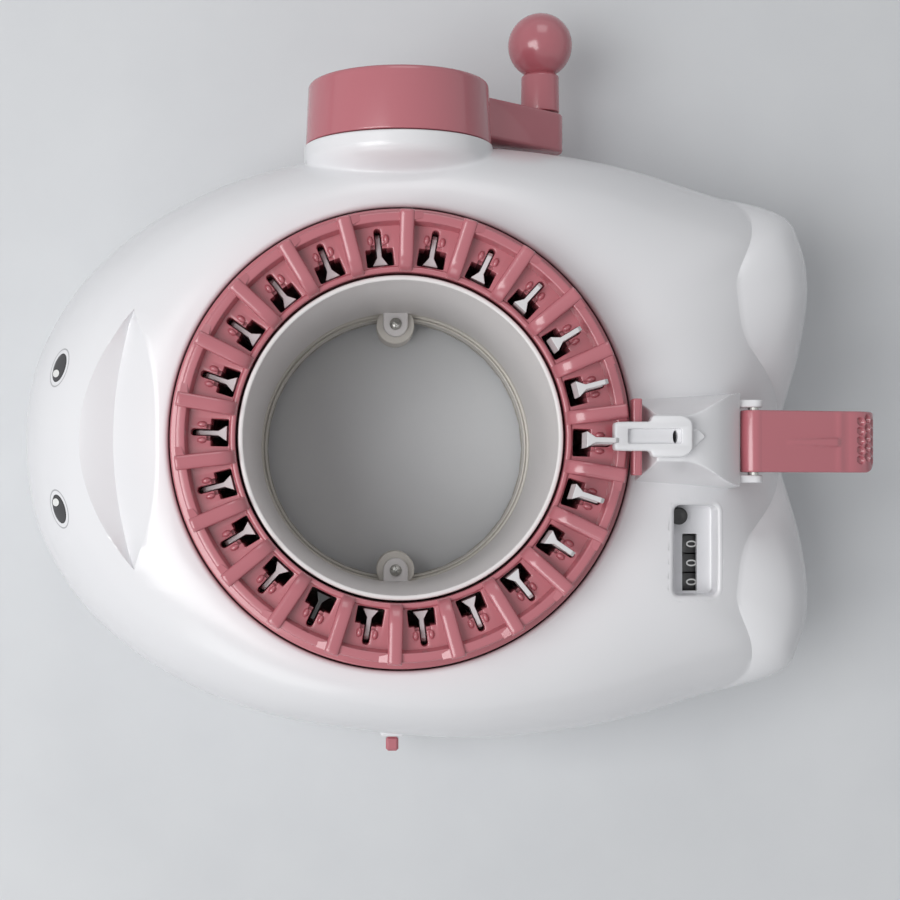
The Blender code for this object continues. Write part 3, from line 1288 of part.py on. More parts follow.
def counter_housing():
    """Box whose top follows the body, with a rounded recess and the wheels' chamber."""
    width = COUNTER_WINDOW_X + 2 * COUNTER_RIM
    length = COUNTER_WINDOW_Y + 2 * COUNTER_RIM
    bottom = COUNTER_FLOOR_Z - COUNTER_DEPTH
    height = DECK_Z - bottom
    box = slab("counter_housing",
               [rounded_box(width, length, COUNTER_CORNER + COUNTER_RIM)], height, WHITE)
    place(box, (COUNTER_X, COUNTER_Y, bottom + height / 2))
    boolean(box, body_form(GAP), "INTERSECT")
    recess = slab("recess", [rounded_box(COUNTER_WINDOW_X, COUNTER_WINDOW_Y, COUNTER_CORNER)],
                  height, home=cutters)
    boolean(box, place(recess, (COUNTER_X, COUNTER_Y, COUNTER_FLOOR_Z + height / 2)))
    half = WHEELS * WHEEL_PITCH / 2 + RUNNING_GAP
    reach = WHEEL_RADIUS + RUNNING_GAP
    chamber = block("chamber", (WHEEL_X - reach, WHEEL_MIDDLE_Y - half, bottom - OVERRUN),
                    (WHEEL_X + reach, WHEEL_MIDDLE_Y + half, COUNTER_FLOOR_Z - COUNTER_FLOOR),
                    home=cutters)
    boolean(box, chamber)
    slot = block("digit_window",
                 (WHEEL_X - DIGIT_WINDOW_X / 2, WHEEL_MIDDLE_Y - half + GAP, COUNTER_FLOOR_Z - COUNTER_DEPTH / 2),
                 (WHEEL_X + DIGIT_WINDOW_X / 2, WHEEL_MIDDLE_Y + half - GAP, COUNTER_FLOOR_Z + OVERRUN),
                 home=cutters)
    boolean(box, slot)
    axle = rod("axle_bore", AXLE_RADIUS + GAP, axle_length() + 2 * GAP, PIN_STEPS, home=cutters)
    boolean(box, place(axle, (WHEEL_X, axle_start() - GAP, wheel_axis_z()), ALONG_Y))
    stem = rod("button_bore", BUTTON_STEM_RADIUS + GAP, COUNTER_DEPTH, PIN_STEPS, home=cutters)
    boolean(box, place(stem, (BUTTON_X, BUTTON_Y, COUNTER_FLOOR_Z - BUTTON_STEM - BUTTON_TRAVEL - GAP)))
    return smooth(box)


def axle_length():
    return WHEELS * WHEEL_PITCH + 2 * RUNNING_GAP + 2 * AXLE_SEAT


def axle_start():
    return WHEEL_MIDDLE_Y - axle_length() / 2


def counter_axle():
    axle = rod("counter_axle", AXLE_RADIUS, axle_length(), PIN_STEPS, STEEL)
    return smooth(place(axle, (WHEEL_X, axle_start(), wheel_axis_z()), ALONG_Y))


def counter_wheels():
    """Digit wheels side by side, units wheel nearest the reset button."""
    width = WHEEL_PITCH - GAP
    bore = AXLE_RADIUS + RUNNING_GAP
    for k, name in enumerate(("counter_wheel_units", "counter_wheel_tens", "counter_wheel_hundreds")):
        profile = [(WHEEL_RADIUS, width / 2), (WHEEL_RADIUS, -width / 2),
                   (bore, -width / 2), (bore, width / 2)]
        wheel = lathe(name, profile, WHEEL_FLATS, BLACK)
        spot = WHEEL_MIDDLE_Y + ((WHEELS - 1) / 2 - k) * WHEEL_PITCH
        place(wheel, (WHEEL_X, spot, wheel_axis_z()), ALONG_Y)


def reset_button():
    """Cap over the recess floor with a stem through it."""
    low = COUNTER_FLOOR_Z + BUTTON_TRAVEL + GAP
    profile = [(0, BUTTON_HEIGHT), (BUTTON_RADIUS - BUTTON_CHAMFER, BUTTON_HEIGHT),
               (BUTTON_RADIUS, BUTTON_HEIGHT - BUTTON_CHAMFER), (BUTTON_RADIUS, 0), (BUTTON_STEM_RADIUS, 0),
               (BUTTON_STEM_RADIUS, -BUTTON_STEM), (0, -BUTTON_STEM)]
    button = lathe("reset_button", profile, PIN_STEPS, BLACK)
    return smooth(place(button, (BUTTON_X, BUTTON_Y, low)))


# Mode switch

def switch_window(extra):
    low = (SWITCH_X - SWITCH_PLATE_X / 2 - extra, -HALF_WIDTH - SWITCH_PLATE_PROUD,
           SWITCH_Z - SWITCH_PLATE_Z / 2 - extra)
    high = (SWITCH_X + SWITCH_PLATE_X / 2 + extra, -HALF_WIDTH + SWITCH_PLATE_DEPTH,
            SWITCH_Z + SWITCH_PLATE_Z / 2 + extra)
    return low, high


def switch_plate():
    low, high = switch_window(0)
    plate = bevel(block("switch_plate", low, high, WHITE), SWITCH_BEVEL)
    slot = block("switch_slot",
                 (SWITCH_X - SWITCH_STEM / 2 - GAP, low[1] - OVERRUN,
                  SWITCH_Z - SWITCH_TRAVEL / 2 - SWITCH_STEM / 2 - GAP),
                 (SWITCH_X + SWITCH_STEM / 2 + GAP, high[1] + OVERRUN,
                  SWITCH_Z + SWITCH_TRAVEL / 2 + SWITCH_STEM / 2 + GAP), home=cutters)
    return smooth(boolean(plate, slot))


def switch_knob():
    """Finger piece in front of the plate with a stem through its slot."""
    low, high = switch_window(0)
    middle = SWITCH_Z + SWITCH_TRAVEL / 2
    face = low[1] - GAP
    knob = block("switch_knob",
                 (SWITCH_X - SWITCH_KNOB_X / 2, face - SWITCH_KNOB_REACH, middle - SWITCH_KNOB_Z / 2),
                 (SWITCH_X + SWITCH_KNOB_X / 2, face, middle + SWITCH_KNOB_Z / 2), PINK)
    bevel(knob, SWITCH_BEVEL)
    stem = block("switch_stem",
                 (SWITCH_X - SWITCH_STEM / 2, face - SWITCH_KNOB_REACH / 2, middle - SWITCH_STEM / 2),
                 (SWITCH_X + SWITCH_STEM / 2, high[1], middle + SWITCH_STEM / 2), home=cutters)
    return smooth(boolean(knob, stem, "UNION"))


def gather(root):
    """Hang every piece and cutter that has no parent yet from the root."""
    for piece in list(parts.objects) + list(cutters.objects):
        if piece.parent is None and piece is not root:
            piece.parent = root


def centre_on_floor(root):
    """Move the machine so that its box stands centred on the origin."""
    bpy.context.view_layer.update()
    graph = bpy.context.evaluated_depsgraph_get()
    corners = [piece.matrix_world @ Vector(corner)
               for piece in parts.objects if piece.type == "MESH"
               for corner in piece.evaluated_get(graph).bound_box]
    low = [min(corner[axis] for corner in corners) for axis in range(3)]
    high = [max(corner[axis] for corner in corners) for axis in range(3)]
    root.location = (-(low[0] + high[0]) / 2, -(low[1] + high[1]) / 2, -low[2])
    print("ring axis at", [round(value / MM, 4) for value in root.location], "mm")


def main():
    root = empty("machine_root", (0, 0, 0))
    upper_shell()
    skirt = lower_shell()
    low, high = switch_window(GAP)
    boolean(skirt, block("switch_hole", (low[0], low[1] - OVERRUN, low[2]),
                         (high[0], high[1] + 2 * OVERRUN, high[2]), home=cutters))
    bottom_plate()
    rubber_feet()
    base_screws()
    cam_ring()
    crown_gear()
    drive_pinion()
    needle_cylinder()
    ring_axis = empty("ring_axis", (0, 0, RING_TOP_Z), root)
    needles(ring_axis)
    inner_tube()
    tube_screws()
    base_ring()
    for build in (gear_housing, shaft_bush, crank_shaft, crank, crank_cap, knob_pin, crank_knob,
                  feeder_bracket, yarn_feeder, needle_guard, tension_arm, arm_pin,
                  counter_housing, counter_axle, counter_wheels, reset_button,
                  switch_plate, switch_knob):
        build()
    gather(root)
    centre_on_floor(root)


main()
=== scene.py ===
# %% [markdown]
# # A small circular knitting machine
# The machine is a moulded plastic whale that holds a turning ring of 22 hooked needles.
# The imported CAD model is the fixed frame: it gives every size and every moving body.
# Each visible piece is then made again as a finer surface in the same place, and each
# gets the finish of the real material.

# %% Load the frame
import math
from math import pi, radians

import bmesh
import bpy
import numpy as np
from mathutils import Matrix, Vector
from mathutils.geometry import tessellate_polygon


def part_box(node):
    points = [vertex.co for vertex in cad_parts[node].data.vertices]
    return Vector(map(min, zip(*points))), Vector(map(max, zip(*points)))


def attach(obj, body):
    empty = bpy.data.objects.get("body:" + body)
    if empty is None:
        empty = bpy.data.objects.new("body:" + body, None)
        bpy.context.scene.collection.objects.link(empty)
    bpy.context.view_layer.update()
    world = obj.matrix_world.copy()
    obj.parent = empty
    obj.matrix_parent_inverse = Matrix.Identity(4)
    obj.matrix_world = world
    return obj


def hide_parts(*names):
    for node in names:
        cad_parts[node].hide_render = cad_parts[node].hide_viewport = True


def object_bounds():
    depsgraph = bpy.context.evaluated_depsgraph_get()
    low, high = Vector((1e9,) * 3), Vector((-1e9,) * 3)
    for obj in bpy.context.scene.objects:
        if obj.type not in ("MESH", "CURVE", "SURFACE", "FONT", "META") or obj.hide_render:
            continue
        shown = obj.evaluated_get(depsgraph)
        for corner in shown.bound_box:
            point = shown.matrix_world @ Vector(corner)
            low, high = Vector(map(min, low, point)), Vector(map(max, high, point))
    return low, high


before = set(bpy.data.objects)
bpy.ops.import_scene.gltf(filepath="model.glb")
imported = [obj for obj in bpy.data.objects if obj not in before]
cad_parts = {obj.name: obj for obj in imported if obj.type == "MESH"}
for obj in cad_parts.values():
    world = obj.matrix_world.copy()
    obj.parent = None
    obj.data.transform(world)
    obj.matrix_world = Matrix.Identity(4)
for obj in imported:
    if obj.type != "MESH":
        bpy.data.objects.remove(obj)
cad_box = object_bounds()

MM = 0.001
FULL_TURN = 2 * pi


def new_object(name, data):
    """Object in the scene."""
    made = bpy.data.objects.new(name, data)
    bpy.context.scene.collection.objects.link(made)
    return made


print("CAD box in mm:", [[round(v / MM, 1) for v in corner] for corner in cad_box])

# %% [markdown]
# ## Where everything is
# The needle ring turns about one upright axis, and such a machine is measured from it. The
# middle of the ring's box is that axis, so reading it from the frame keeps every piece in
# place if the model is ever moved.

# %% Ring axis
ring_low, ring_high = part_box("needle_cylinder")
AXIS = np.array([(ring_low.x + ring_high.x) / 2, (ring_low.y + ring_high.y) / 2, 0.0])
print("ring axis in mm:", np.round(AXIS / MM, 2))


def from_axis(points):
    """Points in millimetres from the ring's axis and the table, as metres in the frame."""
    return np.asarray(points, float) * MM + AXIS


# %% [markdown]
# ## Camera
# The picture is taken from straight above with a short telephoto lens, a little to one side
# of the machine. Looking straight down keeps upright walls true, and a small shift moves the
# frame aside, as one crops a copy-stand picture.

# %% Camera
FRAME_PIXELS = 900
FOCAL_PIXELS = 1722
CAMERA_SPOT = (-9.5, -17.6, 575.0)
SHIFT_PIXELS = (84, 52)

lens = bpy.data.cameras.new("copy_stand_lens")
lens.sensor_width = 36.0
lens.lens = lens.sensor_width * FOCAL_PIXELS / FRAME_PIXELS
lens.shift_x, lens.shift_y = (pixels / FRAME_PIXELS for pixels in SHIFT_PIXELS)
lens.clip_start = 0.01
camera = new_object("copy_stand_camera", lens)
camera.location = from_axis(CAMERA_SPOT)
bpy.context.scene.camera = camera
print("lens in mm:", round(lens.lens, 2), "camera at", np.round(camera.location, 3))

# %% [markdown]
# ## Colours and nodes
# Colours are sRGB hex values, as on a paint card. Shaders work in linear light, so one
# function turns hex to linear, and another adds any node with its settings and links. A third
# starts every material: a colour that wanders between two shades, as on real surfaces.

# %% Colour and node helpers
def linear(code):
    """sRGB hex to linear RGBA: each channel c becomes ((c + 0.055) / 1.055) ^ 2.4."""
    channels = [int(code[i:i + 2], 16) / 255 for i in (1, 3, 5)]
    return tuple(c / 12.92 if c <= 0.04045 else ((c + 0.055) / 1.055) ** 2.4
                 for c in channels) + (1.0,)


def add_node(tree, kind, settings=None, **links):
    """One node. A link is a socket, and any other value sets the input of that name."""
    node = tree.nodes.new("ShaderNode" + kind)
    for key, value in (settings or {}).items():
        setattr(node, key, value)
    for key, value in links.items():
        socket = node.inputs[int(key[1:]) if key[1:].isdigit() else key.replace("_", " ")]
        if isinstance(value, bpy.types.NodeSocket):
            tree.links.new(value, socket)
        else:
            socket.default_value = value
    return node


def mottled(name, dark, light, patch_mm, detail, roughness):
    """New material whose colour wanders between two linear colours in patches of a size.
    It gives the material, its tree and shader, the Object coordinates and the noise."""
    material = bpy.data.materials.new(name)
    material.use_nodes = True
    tree = material.node_tree
    shader = tree.nodes["Principled BSDF"]
    place = add_node(tree, "TexCoord").outputs["Object"]
    noise = add_node(tree, "TexNoise", Vector=place, Scale=1 / (patch_mm * MM),
                     Detail=detail).outputs["Fac"]
    tone = add_node(tree, "Mix", {"data_type": "RGBA"}, i0=noise, i6=dark, i7=light)
    tree.links.new(tone.outputs[2], shader.inputs["Base Color"])
    shader.inputs["Roughness"].default_value = roughness
    return material, tree, shader, place, noise


# %% [markdown]
# ## Table
# A studio table is a pale sheet of matt laminate. It catches the machine's soft shadow and
# throws a little light back, so it is one flat face with a faint mottling.

# %% Table
TABLE_HALF = 6.0
TABLE_GAP = 0.2 * MM
table_mesh = bpy.data.meshes.new("studio_table")
corners = [(x * TABLE_HALF, y * TABLE_HALF, 0) for x, y in ((-1, -1), (1, -1), (1, 1), (-1, 1))]
table_mesh.from_pydata(corners, [], [(0, 1, 2, 3)])
table_mesh.materials.append(
    mottled("matt_laminate", linear("#D3D5D8"), linear("#DADCDE"), 25, 3.0, 0.7)[0])
table = new_object("studio_table", table_mesh)
table.location.z = cad_box[0][2] - TABLE_GAP
print("table top in mm:", round(table.location.z / MM, 2))

# %% [markdown]
# ## Light
# Glossy plastic is lit by a few large soft boxes, because a small lamp shows as a hard dot.
# The key hangs high on the head's side, where flat places don't mirror it into the lens, and
# slopes that face the tail turn grey. Two weaker boxes fill the far and near sides. The world
# is brighter in the lens and in reflections, as white studio walls are.

# %% Lamps
LAMP_AIM = (0, 0, 0.08)
for name, spot, size, watts in (("key_box", (-0.56, -0.12, 1.05), 0.7, 8.4),
                                ("far_side_box", (0.1, 1.0, 0.8), 0.6, 2.0),
                                ("near_side_box", (-0.5, -1.0, 0.7), 0.6, 2.2)):
    lamp = bpy.data.lights.new(name, "AREA")
    lamp.shape = "SQUARE"
    lamp.size = size
    lamp.energy = watts
    holder = new_object(name, lamp)
    holder.location = Vector(spot) + Vector(AXIS)
    facing = Vector(LAMP_AIM) - Vector(spot)
    holder.rotation_euler = facing.to_track_quat("-Z", "Y").to_euler()
    print(name, "of", watts, "W")

# %% World
WORLD_FILL, WORLD_SEEN = 0.30, 1.0
world = bpy.data.worlds.new("studio")
world.use_nodes = True
background = world.node_tree.nodes["Background"]
background.inputs["Color"].default_value = linear("#F2F3F5")
rays = add_node(world.node_tree, "LightPath")
seen = add_node(world.node_tree, "Math", {"operation": "ADD"},
                i0=rays.outputs["Is Camera Ray"], i1=rays.outputs["Is Glossy Ray"])
seen = add_node(world.node_tree, "Math", {"operation": "ADD"},
                i0=seen.outputs[0], i1=rays.outputs["Is Transmission Ray"])
level = add_node(world.node_tree, "MapRange", i0=seen.outputs[0], i3=WORLD_FILL,
                 i4=WORLD_SEEN)
world.node_tree.links.new(level.outputs[0], background.inputs["Strength"])
bpy.context.scene.world = world
bpy.context.scene.view_settings.view_transform = "Standard"
print("world strength:", WORLD_FILL, "and", WORLD_SEEN, "in reflections")

# %% [markdown]
# ## Surfaces from numpy
# Every new piece is a sheet of points worked out as one array: rows by columns by xyz, and
# neighbouring points become quads. A profile carried round an axis gives turned pieces, and
# an outline repeated at several heights gives moulded ones. Corners are cut back on a small
# curve, because moulded plastic has no knife edges.

# %% Curves and steps
def circle(steps):
    return np.linspace(0, FULL_TURN, steps, endpoint=False)


def quarter(steps):
    return np.linspace(0, pi / 2, steps)


def arc(radius, angles, middle=(0, 0)):
    """Points on a circle, as x and y."""
    return np.c_[radius * np.cos(angles), radius * np.sin(angles)] + middle


def smooth_step(t):
    """From 0 to 1 with a level start and end: t^2 (3 - 2t)."""
    return t ** 2 * (3 - 2 * t)


def quarter_fall(t):
    """Fall along a quarter circle, slow at t = 0 and steep at 1: 1 - sqrt(1 - t^2)."""
    return 1 - np.sqrt(1 - np.clip(t, 0, 1) ** 2)


def corner_fall(distance, radius):
    """How far a rounded edge lies inside its sharp corner, at a distance from the corner."""
    return radius * quarter_fall(1 - distance / radius)


def soften(corners, cut, steps=3, closed=True):
    """Polyline with each corner cut back by `cut` and replaced by a quadratic curve:
    (1-t)^2 A + 2t(1-t) V + t^2 B, where A and B lie on the two edges that meet at V."""
    corners = np.asarray(corners, float)
    before = np.roll(corners, 1, 0) - corners
    after = np.roll(corners, -1, 0) - corners
    long_before = np.linalg.norm(before, axis=1, keepdims=True)
    long_after = np.linalg.norm(after, axis=1, keepdims=True)
    reach = np.minimum(np.reshape(cut, (-1, 1)), 0.45 * np.minimum(long_before, long_after))
    a = corners + before / long_before * reach
    b = corners + after / long_after * reach
    t = np.linspace(0, 1, steps + 1)[None, :, None]
    curve = (1 - t) ** 2 * a[:, None] + 2 * t * (1 - t) * corners[:, None] + t ** 2 * b[:, None]
    if closed:
        return curve.reshape(-1, 2)
    return np.concatenate([corners[:1], curve[1:-1].reshape(-1, 2), corners[-1:]])


def offset_loop(outline, distance):
    """Anticlockwise closed outline moved outwards: each corner goes along the mean normal."""
    before = outline - np.roll(outline, 1, 0)
    after = np.roll(outline, -1, 0) - outline
    sides = [np.c_[d[:, 1], -d[:, 0]] / np.linalg.norm(d, axis=1, keepdims=True)
             for d in (before, after)]
    mean = sides[0] + sides[1]
    mean /= np.linalg.norm(mean, axis=1, keepdims=True)
    lean = np.maximum((mean * sides[1]).sum(1, keepdims=True), 0.5)
    return outline + mean * distance / lean


# %% Sheets of points
def grid_of(x, y, z):
    """Points of three arrays that broadcast to rows x columns."""
    return np.stack(np.broadcast_arrays(x, y, z), -1)


def polar_grid(radius, angle, height):
    """Points (r cos a, r sin a, h) of arrays that broadcast to rows x columns."""
    return grid_of(radius * np.cos(angle), radius * np.sin(angle), height)


def sheet(points, closed=True, caps=False):
    """A grid as (points, quads, caps). Columns wrap if closed, and caps close both ends."""
    rows, columns = points.shape[:2]
    row = np.arange(rows - 1)[:, None] * columns
    here = np.arange(columns if closed else columns - 1)[None, :]
    after = (here + 1) % columns
    quads = np.stack([row + here, row + after, row + columns + after, row + columns + here], -1)
    ends = [list(range(columns))[::-1], list(range((rows - 1) * columns, rows * columns))]
    return points.reshape(-1, 3), quads.reshape(-1, 4), ends if caps else []


def turned(profile, steps, axis="Z", centre=(0, 0, 0), closed=True):
    """Profile of (radius, height) carried round an axis: a point is (r cos a, r sin a, h)."""
    if closed:
        profile = np.concatenate([profile, profile[:1]])
    spots = polar_grid(profile[:, :1], circle(steps), profile[:, 1:])
    if axis == "Y":
        spots = spots[:, :, [0, 2, 1]] * (1, 1, -1)
    return sheet(spots + centre)


def turned_solid(corners, cuts, bends, steps, axis="Z", centre=(0, 0, 0)):
    """Turned piece whose softened profile starts and ends on the axis."""
    return turned(soften(corners, cuts, bends, False), steps, axis, centre, False)


def layers(outline, steps):
    """Closed outline at each (distance outwards, height) of `steps`, as rows of points."""
    return np.stack([np.c_[offset_loop(outline, out), np.full(len(outline), height)]
                     for out, height in steps])


def rounded_hole(outline, top, bottom, rounding):
    """Wall of a hole: rows go down from the rounded mouth, which is wider by `rounding`."""
    mouth = [(rounding * (1 - np.sin(a)), top - rounding * (1 - np.cos(a))) for a in quarter(4)]
    return layers(outline, mouth + [(0, bottom)])


def rounded_slab(outline, low, high, rounding, axis="Z", centre=(0, 0, 0)):
    """Outline pushed through its thickness, with both rims rounded on a quarter circle."""
    rim = [(-rounding * (1 - np.sin(a)), rounding * (1 - np.cos(a))) for a in quarter(5)]
    rows = layers(outline, [(inset, low + rise) for inset, rise in rim]
                  + [(inset, high - rise) for inset, rise in rim[::-1]])
    if axis == "Y":
        rows = rows[:, :, [0, 2, 1]]
    return sheet(rows + centre, caps=True)


def face_with_hole(outer, wall, height):
    """Flat face inside an outline. Its hole is the first row of a hole's wall."""
    loops = [[Vector((x, y, 0)) for x, y in loop] for loop in (outer, wall[0, ::-1, :2])]
    faces = tessellate_polygon(loops)
    spots = np.array([point for loop in loops for point in loop])
    spots[:, 2] = height
    return spots, np.array(faces)


def joined(parts, faces=()):
    """Several (points, quads, caps) and flat faces of (points, triangles) as one part."""
    points, quads, caps, start = [], [], [], 0
    for spots, part_quads, ends in parts:
        points.append(spots)
        quads.append(part_quads + start)
        caps += [[i + start for i in end] for end in ends]
        start += len(spots)
    for spots, triangles in faces:
        points.append(spots)
        caps += (triangles + start).tolist()
        start += len(spots)
    return np.concatenate(points), np.concatenate(quads), caps


def tilted(part, angle):
    """A part turned about the ring's axis."""
    points, *faces = part
    c, s = math.cos(angle), math.sin(angle)
    return points @ np.array([[c, s, 0], [-s, c, 0], [0, 0, 1]]), *faces


# %% Pieces
MERGE, CAD_MERGE = 1e-7, 1e-6
FLAT_ANGLE, EDGE_ANGLE = radians(2), radians(28)


def place_piece(name, mesh, material, body, nodes, crease):
    """Object of a mesh with its material, smooth up to `crease` degrees. It rides on `body`
    and stands for the CAD `nodes`."""
    mesh.materials.append(material)
    mesh.shade_smooth()
    mesh.set_sharp_from_angle(angle=radians(crease))
    made = new_object(name, mesh)
    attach(made, body)
    if nodes:
        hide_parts(*nodes)
    print(f"{name}: {len(mesh.polygons)} faces on {body}")
    return made


def make_piece(name, part, material, body, nodes=(), crease=40, check=True):
    """Piece of a part in mm: welded, and with `check` its faces are turned outwards."""
    points, quads, caps = part
    mesh = bpy.data.meshes.new(name)
    mesh.from_pydata(from_axis(points).tolist(), [], quads.tolist() + caps)
    work = bmesh.new()
    work.from_mesh(mesh)
    bmesh.ops.remove_doubles(work, verts=work.verts, dist=MERGE)
    if check:
        bmesh.ops.recalc_face_normals(work, faces=work.faces)
    work.to_mesh(mesh)
    work.free()
    return place_piece(name, mesh, material, body, nodes, crease)


def rounded_copy(node, name, material, body, radius):
    """Copy of a CAD node: its loose triangles are merged into whole faces, and a bevel of
    `radius` mm rounds every edge."""
    mesh = bpy.data.objects[node].data.copy()
    mesh.name = name
    work = bmesh.new()
    work.from_mesh(mesh)
    bmesh.ops.remove_doubles(work, verts=work.verts, dist=CAD_MERGE)
    bmesh.ops.dissolve_limit(work, angle_limit=FLAT_ANGLE, verts=work.verts, edges=work.edges)
    work.to_mesh(mesh)
    work.free()
    mesh.materials.clear()
    made = place_piece(name, mesh, material, body, [node], 30)
    edge = made.modifiers.new("edge", "BEVEL")
    edge.width = radius * MM
    edge.segments = 2
    edge.limit_method = "ANGLE"
    edge.angle_limit = EDGE_ANGLE
    edge.harden_normals = True


# %% [markdown]
# ## Moulded ABS
# The body, tube and feeder are white ABS and the ring, crank and arm pink ABS, injection
# moulded against polished steel. ABS reflects 4.5 % head on. Polishing leaves a faint
# waviness about a centimetre long, and fine die texture breaks the highlight's edge, so a
# noise at each of these sizes bends the surface.

# %% Moulded plastics
WAVE_HIGH, GRAIN_HIGH = 0.008 * MM, 0.0008 * MM
ABS_IOR = 1.54


def moulded(name, base, tint, roughness, grain_mm=0.9, coat=0.0):
    """Pigment and polish wander over centimetres, the surface is wavy, and die grain lies
    on it. The grain is drawn coarser than the real tenth of a millimetre, which no
    picture of the whole machine resolves."""
    material, tree, shader, place, cloud = mottled(name, linear(base), linear(tint), 35, 2.0,
                                                   roughness)
    gloss = add_node(tree, "MapRange", i0=cloud, i1=0.3, i2=0.7,
                     i3=roughness - 0.02, i4=roughness + 0.02)
    tree.links.new(gloss.outputs[0], shader.inputs["Roughness"])
    waves = add_node(tree, "TexNoise", Vector=place, Scale=1 / (9 * MM), Detail=1.0)
    soft = add_node(tree, "Bump", Height=waves.outputs["Fac"], Distance=WAVE_HIGH,
                    Strength=1.0)
    fine = add_node(tree, "TexNoise", Vector=place, Scale=1 / (grain_mm * MM),
                    Detail=1.0)
    bump = add_node(tree, "Bump", Height=fine.outputs["Fac"], Distance=GRAIN_HIGH,
                    Strength=1.0, Normal=soft.outputs["Normal"])
    tree.links.new(bump.outputs["Normal"], shader.inputs["Normal"])
    shader.inputs["IOR"].default_value = ABS_IOR
    shader.inputs["Coat Weight"].default_value = coat
    return material


WHITE_ABS = moulded("white_moulded_abs", "#E6E6E9", "#EBEBED", 0.24)
PINK_ABS = moulded("pink_moulded_abs", "#B2626C", "#BA6B74", 0.24, coat=0.35)
TUBE_ABS = moulded("satin_white_abs", "#E2DFDF", "#E8E5E4", 0.40)
BEIGE_ABS = moulded("beige_moulded_abs", "#D5D1C9", "#DCD8D1", 0.40)
BLACK_ABS = moulded("black_moulded_abs", "#141415", "#1B1B1D", 0.30)
GREY_PLATE = moulded("grey_moulded_abs", "#A7A39B", "#B1ADA4", 0.45)
NATURAL_ACETAL = moulded("natural_acetal", "#DAD6CB", "#E2DED4", 0.38)
WHITE_ACETAL = moulded("white_moulded_acetal", "#D2D0D2", "#DCDADB", 0.30, grain_mm=0.25)

# %% [markdown]
# ## Ink, steel and rubber
# Numbers and eyes are pad printed: a matt film, paler in small blotches. The screws are
# zinc-plated steel, a bluish grey metal with fine turning marks. The feet are black rubber
# with a dusty, pebbled skin.

# %% Ink, steel and rubber
def printed(name, base, roughness):
    pale = tuple(min(1.0, c * 1.12 + 0.004) for c in linear(base)[:3]) + (1.0,)
    return mottled(name, linear(base), pale, 0.9, 2.0, roughness)[0]


WHITE_INK = printed("white_pad_printed_ink", "#E2E2E0", 0.5)
DARK_INK = printed("dark_grey_printed_ink", "#3B3A3C", 0.35)
BLACK_INK = printed("black_printed_ink", "#141416", 0.35)
GREY_INK = printed("pale_grey_printed_ink", "#A9A9AC", 0.4)

STEEL, tree, shader, _, marks = mottled(
    "zinc_plated_steel", linear("#A7A8A6"), linear("#C6C5BF"), 0.5, 4.0, 0.33)
gloss = add_node(tree, "MapRange", i0=marks, i1=0.3, i2=0.7, i3=0.24, i4=0.42)
tree.links.new(gloss.outputs[0], shader.inputs["Roughness"])
shader.inputs["Metallic"].default_value = 1.0

RUBBER, tree, shader, _, skin = mottled(
    "black_moulded_rubber", linear("#1D1D1E"), linear("#343335"), 0.8, 3.0, 0.78)
pebbles = add_node(tree, "Bump", Height=skin, Distance=0.03 * MM, Strength=1.0)
tree.links.new(pebbles.outputs["Normal"], shader.inputs["Normal"])

# %% [markdown]
# ## The whale's body as a height
# The body is two moulded shells with one smooth outline. On it the dome's height depends on
# the angle about the ring's axis and on the share of the way in from the outline to the
# ring's opening, along a power curve. The flukes are flatter leaves that the dome runs down
# onto, so the surface is the higher of the two, and the head has a crescent-shaped step.

# %% Body height
OUTLINE = np.array([
    (-1.0, 0.0), (-0.984, 0.197), (-0.943, 0.35), (-0.862, 0.519), (-0.752, 0.662),
    (-0.589, 0.8), (-0.371, 0.911), (-0.088, 0.974), (0.2, 1.0), (0.504, 0.956),
    (0.75, 0.864), (0.936, 0.775), (0.982, 0.667), (1.0, 0.52), (0.986, 0.32), (0.952, 0.0)])
HEAD_REACH, TAIL_REACH, HALF_WIDTH = 113.1, 122.5, 89.1
SPAN_STEPS = 40
PARTING_Z, DOME_START_Z, DECK_Z = 38.0, 41.0, 94.5
OPENING_RADIUS, COLLAR_RADIUS = 64.9, 66.2
DOME_POWER, TAIL_SLACK, TAIL_SPREAD = 2.3, 0.45, radians(42)
LEAF_HIGH, LEAF_TURN, LEAF_POWER = 44.5, radians(24), 4.0
CRESCENT_HALF_Y, CRESCENT_DEPTH = 36.5, 5.5


def smooth_closed(points):
    """Catmull-Rom curve through a closed loop of points."""
    p0, p1, p2, p3 = (np.roll(points, k, 0)[:, None] for k in (1, 0, -1, -2))
    t = np.linspace(0, 1, SPAN_STEPS, endpoint=False)[None, :, None]
    curve = 0.5 * (2 * p1 + (p2 - p0) * t + (2 * p0 - 5 * p1 + 4 * p2 - p3) * t ** 2
                   + (3 * p1 - p0 - 3 * p2 + p3) * t ** 3)
    return curve.reshape(-1, points.shape[1])


reach = np.where(OUTLINE[:, :1] < 0, HEAD_REACH, TAIL_REACH)
half_loop = np.c_[OUTLINE[:, :1] * reach, OUTLINE[:, 1:] * HALF_WIDTH]
edge_loop = smooth_closed(np.concatenate([half_loop, half_loop[-2:0:-1] * (1, -1)]))
edge_angle = np.arctan2(edge_loop[:, 1], edge_loop[:, 0])
edge_order = np.argsort(edge_angle)
edge_angle = edge_angle[edge_order]
edge_radius = np.hypot(edge_loop[:, 0], edge_loop[:, 1])[edge_order]


def outline_radius(angle):
    """Distance from the ring's axis to the body's outline at an angle."""
    return np.interp(angle, edge_angle, edge_radius, period=FULL_TURN)


def dome_rise(share, power):
    """Power curve from 0 at the outline to 1 at the opening."""
    return (1 - np.clip(1 - share, 0, 1) ** power) ** (1 / power)


